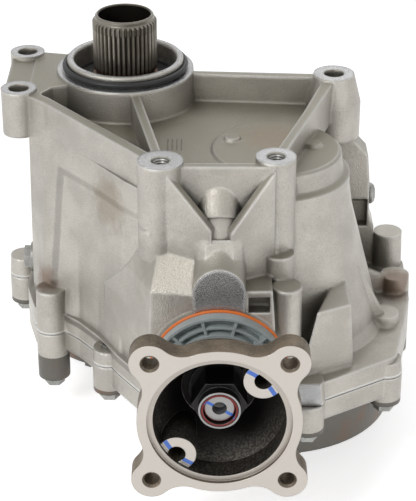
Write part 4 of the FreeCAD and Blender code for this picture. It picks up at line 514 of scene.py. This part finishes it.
def turned_material(name, colour, centre, axis, roughness, metallic=0.9, dark=None):
    """Turned steel or aluminium: fine rings about its axis and brighter corners."""
    material, tree, shader, place = new_material(name)
    marks = effect(tree, "turning", {"Place": place, "Centre": centre, "Axis": axis,
                                     "Feed": TURNING_FEED})[0]
    edges = effect(tree, "edge", {"Radius": TURNED_EDGE, "Sharpness": 6.0})
    grain = effect(tree, "grain", {"Place": place, "Grain size": 0.0015, "Wave size": 0.012})
    shadow = shade(colour, 0.62) if dark is None else dark
    base = blend_colour(tree, ramp(tree, grain["Tone"], 0.35, 0.68), shadow, colour)
    base = blend_colour(tree, times(tree, edges["Edge"], 0.5), base,
                        tuple(min(1.0, part * 1.35 + 0.05) for part in colour))
    rough = plus(tree, roughness, times(tree, marks, 0.14))
    normal = bumped(tree, marks, 0.00012, 0.35, edges["Normal"])
    feed(tree, shader, Base_Color=base, Roughness=rough, Metallic=metallic, Normal=normal)
    return material


def rubber_material(name, colour, roughness=0.55):
    """Moulded rubber with a fine matt skin."""
    material, tree, shader, place = new_material(name)
    grain = effect(tree, "grain", {"Place": place, "Grain size": 0.0006, "Wave size": 0.01})
    base = blend_colour(tree, grain["Tone"], shade(colour, 0.75), shade(colour, 1.15))
    normal = bumped(tree, grain["Height"], 0.0001, 0.3)
    feed(tree, shader, Base_Color=base, Roughness=roughness, Metallic=0.0, Normal=normal,
         Specular_IOR_Level=0.4)
    return material


def oily_spline_material():
    """Hardened spline: bright worn crests over dark oiled valleys, and a thin rust line at the foot."""
    material, tree, shader, place = new_material("Oiled spline steel")
    split = xyz(tree, place)
    radius = from_axis(tree, split[0], split[1])
    crest = ramp(tree, radius, *CREST_RADII)
    grain = effect(tree, "grain", {"Place": place, "Grain size": 0.0008, "Wave size": 0.012})
    edges = effect(tree, "edge", {"Radius": 0.0003, "Sharpness": 6.0})
    steel = blend_colour(tree, grain["Tone"], (0.17, 0.155, 0.125), (0.42, 0.39, 0.34))
    colour = blend_colour(tree, crest, (0.045, 0.038, 0.03), steel)
    collar = times(tree, ramp(tree, split[2], *COLLAR_LEVELS), ramp(tree, radius, *COLLAR_RADII))
    colour = blend_colour(tree, collar, colour, (0.20, 0.185, 0.155))
    foot = minus(tree, 1.0, ramp(tree, split[2], *FOOT_LEVELS))
    colour = blend_colour(tree, times(tree, foot, 0.75), colour, (0.10, 0.04, 0.015))
    top = effect(tree, "level", {"Place": place, "Level": SHAFT_TOP, "Tolerance": 0.0016})[0]
    colour = blend_colour(tree, top, colour, (0.60, 0.58, 0.54))
    normal = bumped(tree, grain["Height"], 0.0001, 0.3, edges["Normal"])
    feed(tree, shader, Base_Color=colour, Roughness=0.32, Metallic=0.85, Normal=normal)
    return material


def about_pinion(tree, split):
    """Coordinates across and up from the pinion's axis, and the radius from it."""
    across = minus(tree, split[0], FLANGE.x)
    up = minus(tree, split[2], FLANGE.z)
    return across, up, from_axis(tree, across, up)


def front_faces(tree, place, depth):
    """Faces of the flange that look to the front, at a depth behind its foremost one: 1 on them."""
    return effect(tree, "level", {"Place": place, "Direction": FRONT, "Level": -FLANGE_FACE - depth})[0]


def flange_material(colours):
    """Forged flange: turned face and lobes, raw brown sides, a sandy dark cup that turns near black deeper in
    as painted shade, blue stripes on its pads.
    """
    material, tree, shader, place = new_material("Forged flange steel")
    split = xyz(tree, place)
    grain = effect(tree, "grain", {"Place": place, "Grain size": 0.0014, "Wave size": 0.02})
    edges = effect(tree, "edge", {"Radius": 0.0007, "Sharpness": 6.0})
    marks = effect(tree, "turning", {"Place": place, "Centre": tuple(FLANGE), "Axis": ALONG_PINION,
                                     "Feed": FLANGE_FEED})[0]
    raw = blend_colour(tree, ramp(tree, grain["Tone"], 0.35, 0.65), shade(colours.forging, 0.6),
                       shade(colours.forging, 1.5))
    register = times(tree, front_faces(tree, place, REGISTER_DEPTH), 0.75)
    face = math_node(tree, "MAXIMUM", front_faces(tree, place, 0.0), register)
    worn = math_node(tree, "MAXIMUM", face, times(tree, edges["Edge"], 0.8))
    radius = about_pinion(tree, split)[2]
    depth = minus(tree, split[1], FLANGE_FACE)
    inside = times(tree, is_less(tree, radius, CUP_RADIUS), is_more(tree, depth, CUP_MOUTH))
    sand = blend_colour(tree, ramp(tree, grain["Height"], 0.42, 0.62), (0.035, 0.031, 0.026),
                        (0.115, 0.105, 0.09))
    # Painted shade: the cup's sandy colour turns near black deeper inside it
    cup = blend_colour(tree, ramp(tree, depth, 0.012, 0.036), sand, (0.012, 0.011, 0.010))
    colour = blend_colour(tree, inside, raw, cup)
    colour = blend_colour(tree, worn, colour, colours.flange_face)
    pad = front_faces(tree, place, PAD_DEPTH)
    colour = blend_colour(tree, pad, colour, colours.flange_face)
    stripe = times(tree, is_near(tree, radius, PAD_CIRCLE, PAD_STRIPE), pad)
    colour = blend_colour(tree, times(tree, stripe, 0.9), colour, colours.paint_mark)
    worn = math_node(tree, "MAXIMUM", worn, pad)
    rough = minus(tree, 0.55, times(tree, worn, 0.22))
    rough_height = times(tree, grain["Height"], minus(tree, 1.0, worn))
    height = plus(tree, rough_height, times(tree, marks, times(tree, worn, 0.3)))
    normal = bumped(tree, height, 0.0005, 0.6, edges["Normal"])
    feed(tree, shader, Base_Color=colour, Roughness=rough, Metallic=0.7, Normal=normal)
    return material


def pinion_end_material(name, colours, sizes, bright_ring, red_ring, skin):
    """Pinion's end or its nut: a plain skin, a bright and a red ring round the axis, and a blue stripe."""
    material, tree, shader, place = new_material(name)
    split = xyz(tree, place)
    across, up, radius = about_pinion(tree, split)
    front = is_less(tree, xyz(tree, true_normal(tree))[1], -0.6)
    grain = effect(tree, "grain", {"Place": place, "Grain size": 0.001, "Wave size": 0.01})
    edges = effect(tree, "edge", {"Radius": sizes.machined_edge, "Sharpness": 6.0})
    colour = blend_colour(tree, grain["Tone"], shade(skin, 0.6), shade(skin, 1.4))
    for (inner, outer), tone in ((bright_ring, (0.34, 0.335, 0.33)), (red_ring, (0.17, 0.022, 0.018))):
        band = times(tree, is_more(tree, radius, inner), is_less(tree, radius, outer))
        colour = blend_colour(tree, times(tree, band, front), colour, tone)
    line = plus(tree, up, times(tree, across, END_STRIPE_SLOPE))
    stripe = times(tree, is_near(tree, line, 0.0, END_STRIPE), front)
    stripe = times(tree, stripe, is_less(tree, radius, END_STRIPE_REACH))
    colour = blend_colour(tree, times(tree, stripe, 0.9), colour, colours.paint_mark)
    colour = blend_colour(tree, times(tree, edges["Edge"], 0.4), colour, (0.5, 0.5, 0.5))
    normal = bumped(tree, grain["Height"], 0.0001, 0.3, edges["Normal"])
    feed(tree, shader, Base_Color=colour, Roughness=0.36, Metallic=0.7, Normal=normal)
    return material


# Mesh helpers
def tube_mesh(name, points):
    """Tube from a grid of points: rows run along it, and the columns of a row close round it."""
    rows, columns = points.shape[:2]
    row, column = np.meshgrid(np.arange(rows - 1), np.arange(columns), indexing="ij")
    next_column = (column + 1) % columns
    quads = np.stack((row * columns + column, row * columns + next_column,
                      (row + 1) * columns + next_column, (row + 1) * columns + column), -1).reshape(-1, 4)
    mesh = bpy.data.meshes.new(name)
    mesh.from_pydata(points.reshape(-1, 3).tolist(), [], quads.tolist())
    mesh.shade_smooth()
    mesh.update()
    return mesh


def add_piece(name, mesh, material, body):
    """Object for a finished mesh, riding on a body, with its finish's slot."""
    piece = bpy.data.objects.new(name, mesh)
    bpy.context.scene.collection.objects.link(piece)
    mesh.materials.append(material)
    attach(piece, body)
    return piece


def dress(nodes, material):
    """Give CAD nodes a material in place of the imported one."""
    for name in nodes:
        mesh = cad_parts[name].data
        mesh.materials.clear()
        mesh.materials.append(material)


# Stage helpers
def look_along(direction):
    """Turn that points a lamp's -Z along a direction."""
    x, y, z = direction
    tilt = math.atan2(math.hypot(x, y), -z)
    return (tilt, 0.0, math.atan2(y, x) - math.pi / 2)


def lay_floor(scene):
    """Wide flat floor under the part, which glows only for the rays that show the background."""
    reach = scene.ptu_sizes.floor_reach
    level = REST - FLOOR_GAP
    corners = [(-reach, -reach, level), (reach, -reach, level), (reach, reach, level), (-reach, reach, level)]
    mesh = bpy.data.meshes.new("floor")
    mesh.from_pydata(corners, [], [(0, 1, 2, 3)])
    floor = bpy.data.objects.new("floor", mesh)
    scene.collection.objects.link(floor)
    material, tree, shader, _ = new_material("Studio floor")
    feed(tree, shader, Base_Color=tuple(scene.ptu_colours.floor), Roughness=0.9, Emission_Color=WHITE,
         Emission_Strength=times(tree, seen_rays(tree), FLOOR_GLOW))
    mesh.materials.append(material)


def light_world(scene):
    """World that is white where it is seen, and lights the part softly."""
    world = bpy.data.worlds.new("Studio")
    world.use_nodes = True
    tree = world.node_tree
    background = tree.nodes["Background"]
    background.inputs[0].default_value = (*WHITE, 1.0)
    strengths = {"Value": seen_rays(tree), "To Min": WORLD_LIGHT, "To Max": 1.0}
    tree.links.new(put(tree, "ShaderNodeMapRange", strengths).outputs[0], background.inputs[1])
    scene.world = world


def hang_lamp(scene, name, place, target, size, power):
    """Square soft lamp at a place, turned to a target."""
    lamp = bpy.data.lights.new(name, "AREA")
    lamp.energy = power
    lamp.size = size
    holder = bpy.data.objects.new(name, lamp)
    scene.collection.objects.link(holder)
    holder.location = place
    holder.rotation_euler = look_along(np.array(target) - np.array(place))


def set_camera(scene):
    """Camera at the photograph's place, tilt and lens."""
    camera = bpy.data.cameras.new("camera")
    camera.lens = CAMERA_LENS
    camera.sensor_width = SENSOR_WIDTH
    holder = bpy.data.objects.new("camera", camera)
    holder.location = CAMERA_PLACE
    holder.rotation_euler = (CAMERA_TILT, 0.0, 0.0)
    scene.collection.objects.link(holder)
    scene.camera = holder


class PTU_OT_effects(bpy.types.Operator):
    """Build the shader groups that the finishes share"""

    bl_idname = "ptu.effects"
    bl_label = "Shared effects"

    def execute(self, context):
        EFFECTS.update(grain=build_grain_group(), edge=build_edge_group(), level=build_level_group(),
                       stain=build_stain_group(), turning=build_turning_group(), panel=build_panel_group(),
                       score=build_score_group())
        return {"FINISHED"}


class PTU_OT_casing(bpy.types.Operator):
    """Finish the casting, its cover, and the sealant between them"""

    bl_idname = "ptu.casing"
    bl_label = "Casing"

    def execute(self, context):
        sizes = context.scene.ptu_sizes
        colours = context.scene.ptu_colours
        cuts = [(UP, level) for level in UPPER_CUTS] + [(DOWN, -PARTING), (FRONT, -NOSE_FACE)]
        dress(["main_housing"], casting_material("Blasted casting", colours, sizes, cuts))
        dress(["gear_cover"], casting_material("Cover casting", colours, sizes, [(DOWN, -REST)], PAN_TOP))
        dress(["cover_sealant"], rubber_material("Grey sealant", (0.05, 0.055, 0.06)))
        return {"FINISHED"}


class PTU_OT_input_side(bpy.types.Operator):
    """Finish the input shaft, the pilot's O-ring and the three lip seals"""

    bl_idname = "ptu.input_side"
    bl_label = "Input side"

    def execute(self, context):
        dress(["input_shaft"], oily_spline_material())
        dress(["pilot_o_ring"], rubber_material("O-ring rubber", (0.016, 0.017, 0.017), 0.45))
        dress(["input_seal", "halfshaft_seal", "pinion_seal"],
              rubber_material("Seal rubber", (0.03, 0.03, 0.032), 0.5))
        return {"FINISHED"}


class PTU_OT_output_side(bpy.types.Operator):
    """Finish the output flange, the pinion's nut and washer, and the seal carrier with its orange ring"""

    bl_idname = "ptu.output_side"
    bl_label = "Output side"

    def execute(self, context):
        colours = context.scene.ptu_colours
        sizes = context.scene.ptu_sizes
        dress(["output_flange"], flange_material(colours))
        dress(["pinion_nut", "pinion_washer"],
              pinion_end_material("Black nut", colours, sizes, bright_ring=(0.0118, 0.0130),
                                  red_ring=(0.0, 0.0112), skin=(0.022, 0.021, 0.020)))
        dress(["pinion", "pinion_spacer"],
              pinion_end_material("Pinion steel", colours, sizes, bright_ring=(0.0046, 0.0088),
                                  red_ring=(0.0088, 0.0100), skin=(0.30, 0.29, 0.28)))
        dress(["seal_carrier"],
              turned_material("Seal carrier grey", tuple(colours.carrier), tuple(FLANGE), ALONG_PINION, 0.45,
                              metallic=0.0, dark=shade(colours.carrier, 0.85)))
        dress(["carrier_seal_ring"], rubber_material("Orange seal ring", tuple(colours.seal_trim), 0.4))
        return {"FINISHED"}


class PTU_OT_inner_parts(bpy.types.Operator):
    """Finish the gears, shafts, bearings, spacers and dowels inside"""

    bl_idname = "ptu.inner_parts"
    bl_label = "Inner parts"

    def execute(self, context):
        upright = tuple(TRANSFER)
        dress(["input_gear", "transfer_gear", "ring_gear", "transfer_shaft"],
              turned_material("Hardened gear steel", (0.26, 0.255, 0.25), upright, UP, 0.34))
        dress([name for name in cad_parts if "bearing" in name] +
              ["transfer_shim", "input_gear_spacer", "transfer_gear_spacer", "cover_dowels"],
              turned_material("Ground bearing steel", (0.58, 0.58, 0.59), upright, UP, 0.2))
        return {"FINISHED"}


class PTU_OT_fasteners(bpy.types.Operator):
    """Finish the bolts, plugs and the breather"""

    bl_idname = "ptu.fasteners"
    bl_label = "Fasteners"

    def execute(self, context):
        dress(["cover_bolts", "ring_gear_bolts", "fill_plug", "drain_plug", "breather"],
              turned_material("Plated fastener steel", (0.42, 0.42, 0.40), ORIGIN, UP, 0.36))
        return {"FINISHED"}


class PTU_OT_boss_threads(bpy.types.Operator):
    """Cut the threads in the two front bosses.

    A thread is a wall of points at angle a and height h. Its radius is the wall's less a triangle wave of
    h, which moves down by one pitch in a turn of a and fades out at the top.
    """

    bl_idname = "ptu.boss_threads"
    bl_label = "Boss threads"

    def execute(self, context):
        sizes = context.scene.ptu_sizes
        material = turned_material("Tapped aluminium", (0.40, 0.39, 0.37), ORIGIN, UP, 0.35)
        angle = np.linspace(0, 2 * math.pi, THREAD_COLUMNS, endpoint=False)[None, :]
        rows = int((THREAD_TOP - THREAD_BOTTOM) / sizes.thread_pitch * ROWS_PER_PITCH)
        height = np.linspace(THREAD_BOTTOM, THREAD_TOP, rows)[:, None] + 0 * angle
        wave = np.abs(((height / sizes.thread_pitch + angle / (2 * math.pi)) % 1.0) * 2 - 1)
        fade = np.clip((THREAD_TOP - height) / sizes.thread_pitch, 0, 1)
        radius = THREAD_RADIUS - OFF_THE_WALL - sizes.thread_depth * wave * fade
        for index, (x, y) in enumerate(FRONT_THREADS, 1):
            points = np.stack((x + radius * np.cos(angle), y + radius * np.sin(angle), height), -1)
            mesh = tube_mesh(f"boss_thread_{index}", points)
            mesh.flip_normals()
            add_piece(f"boss_thread_{index}", mesh, material, "casing")
        return {"FINISHED"}


class PTU_OT_stage(bpy.types.Operator):
    """Set the floor, the world, the soft lamps and the camera at the photograph's angle"""

    bl_idname = "ptu.stage"
    bl_label = "Stage"

    def execute(self, context):
        scene = context.scene
        lay_floor(scene)
        light_world(scene)
        for lamp in LAMPS:
            hang_lamp(scene, *lamp)
        set_camera(scene)
        scene.view_settings.view_transform = "Standard"
        return {"FINISHED"}


OPERATORS = (PTU_OT_effects, PTU_OT_casing, PTU_OT_input_side, PTU_OT_output_side, PTU_OT_inner_parts,
             PTU_OT_fasteners, PTU_OT_boss_threads, PTU_OT_stage)


class PTU_PT_panel(bpy.types.Panel):
    """Sizes, colours and building steps of the power transfer unit"""

    bl_idname = "PTU_PT_panel"
    bl_label = "Power transfer unit"
    bl_space_type = "VIEW_3D"
    bl_region_type = "UI"
    bl_category = "Power transfer unit"

    def draw(self, context):
        layout = self.layout
        for settings in (context.scene.ptu_sizes, context.scene.ptu_colours):
            box = layout.box()
            for key in settings.__annotations__:
                box.prop(settings, key)
        for operator in OPERATORS:
            layout.operator(operator.bl_idname)


CLASSES = (PTU_PG_sizes, PTU_PG_colours, *OPERATORS, PTU_PT_panel)


def register():
    for item in CLASSES:
        bpy.utils.register_class(item)
    bpy.types.Scene.ptu_sizes = bpy.props.PointerProperty(type=PTU_PG_sizes)
    bpy.types.Scene.ptu_colours = bpy.props.PointerProperty(type=PTU_PG_colours)


def unregister():
    del bpy.types.Scene.ptu_colours
    del bpy.types.Scene.ptu_sizes
    for item in reversed(CLASSES):
        bpy.utils.unregister_class(item)


def main():
    """Build everything in order."""
    register()
    for operator in OPERATORS:
        family, step = operator.bl_idname.split(".")
        getattr(getattr(bpy.ops, family), step)()


if __name__ == "__main__":
    main()
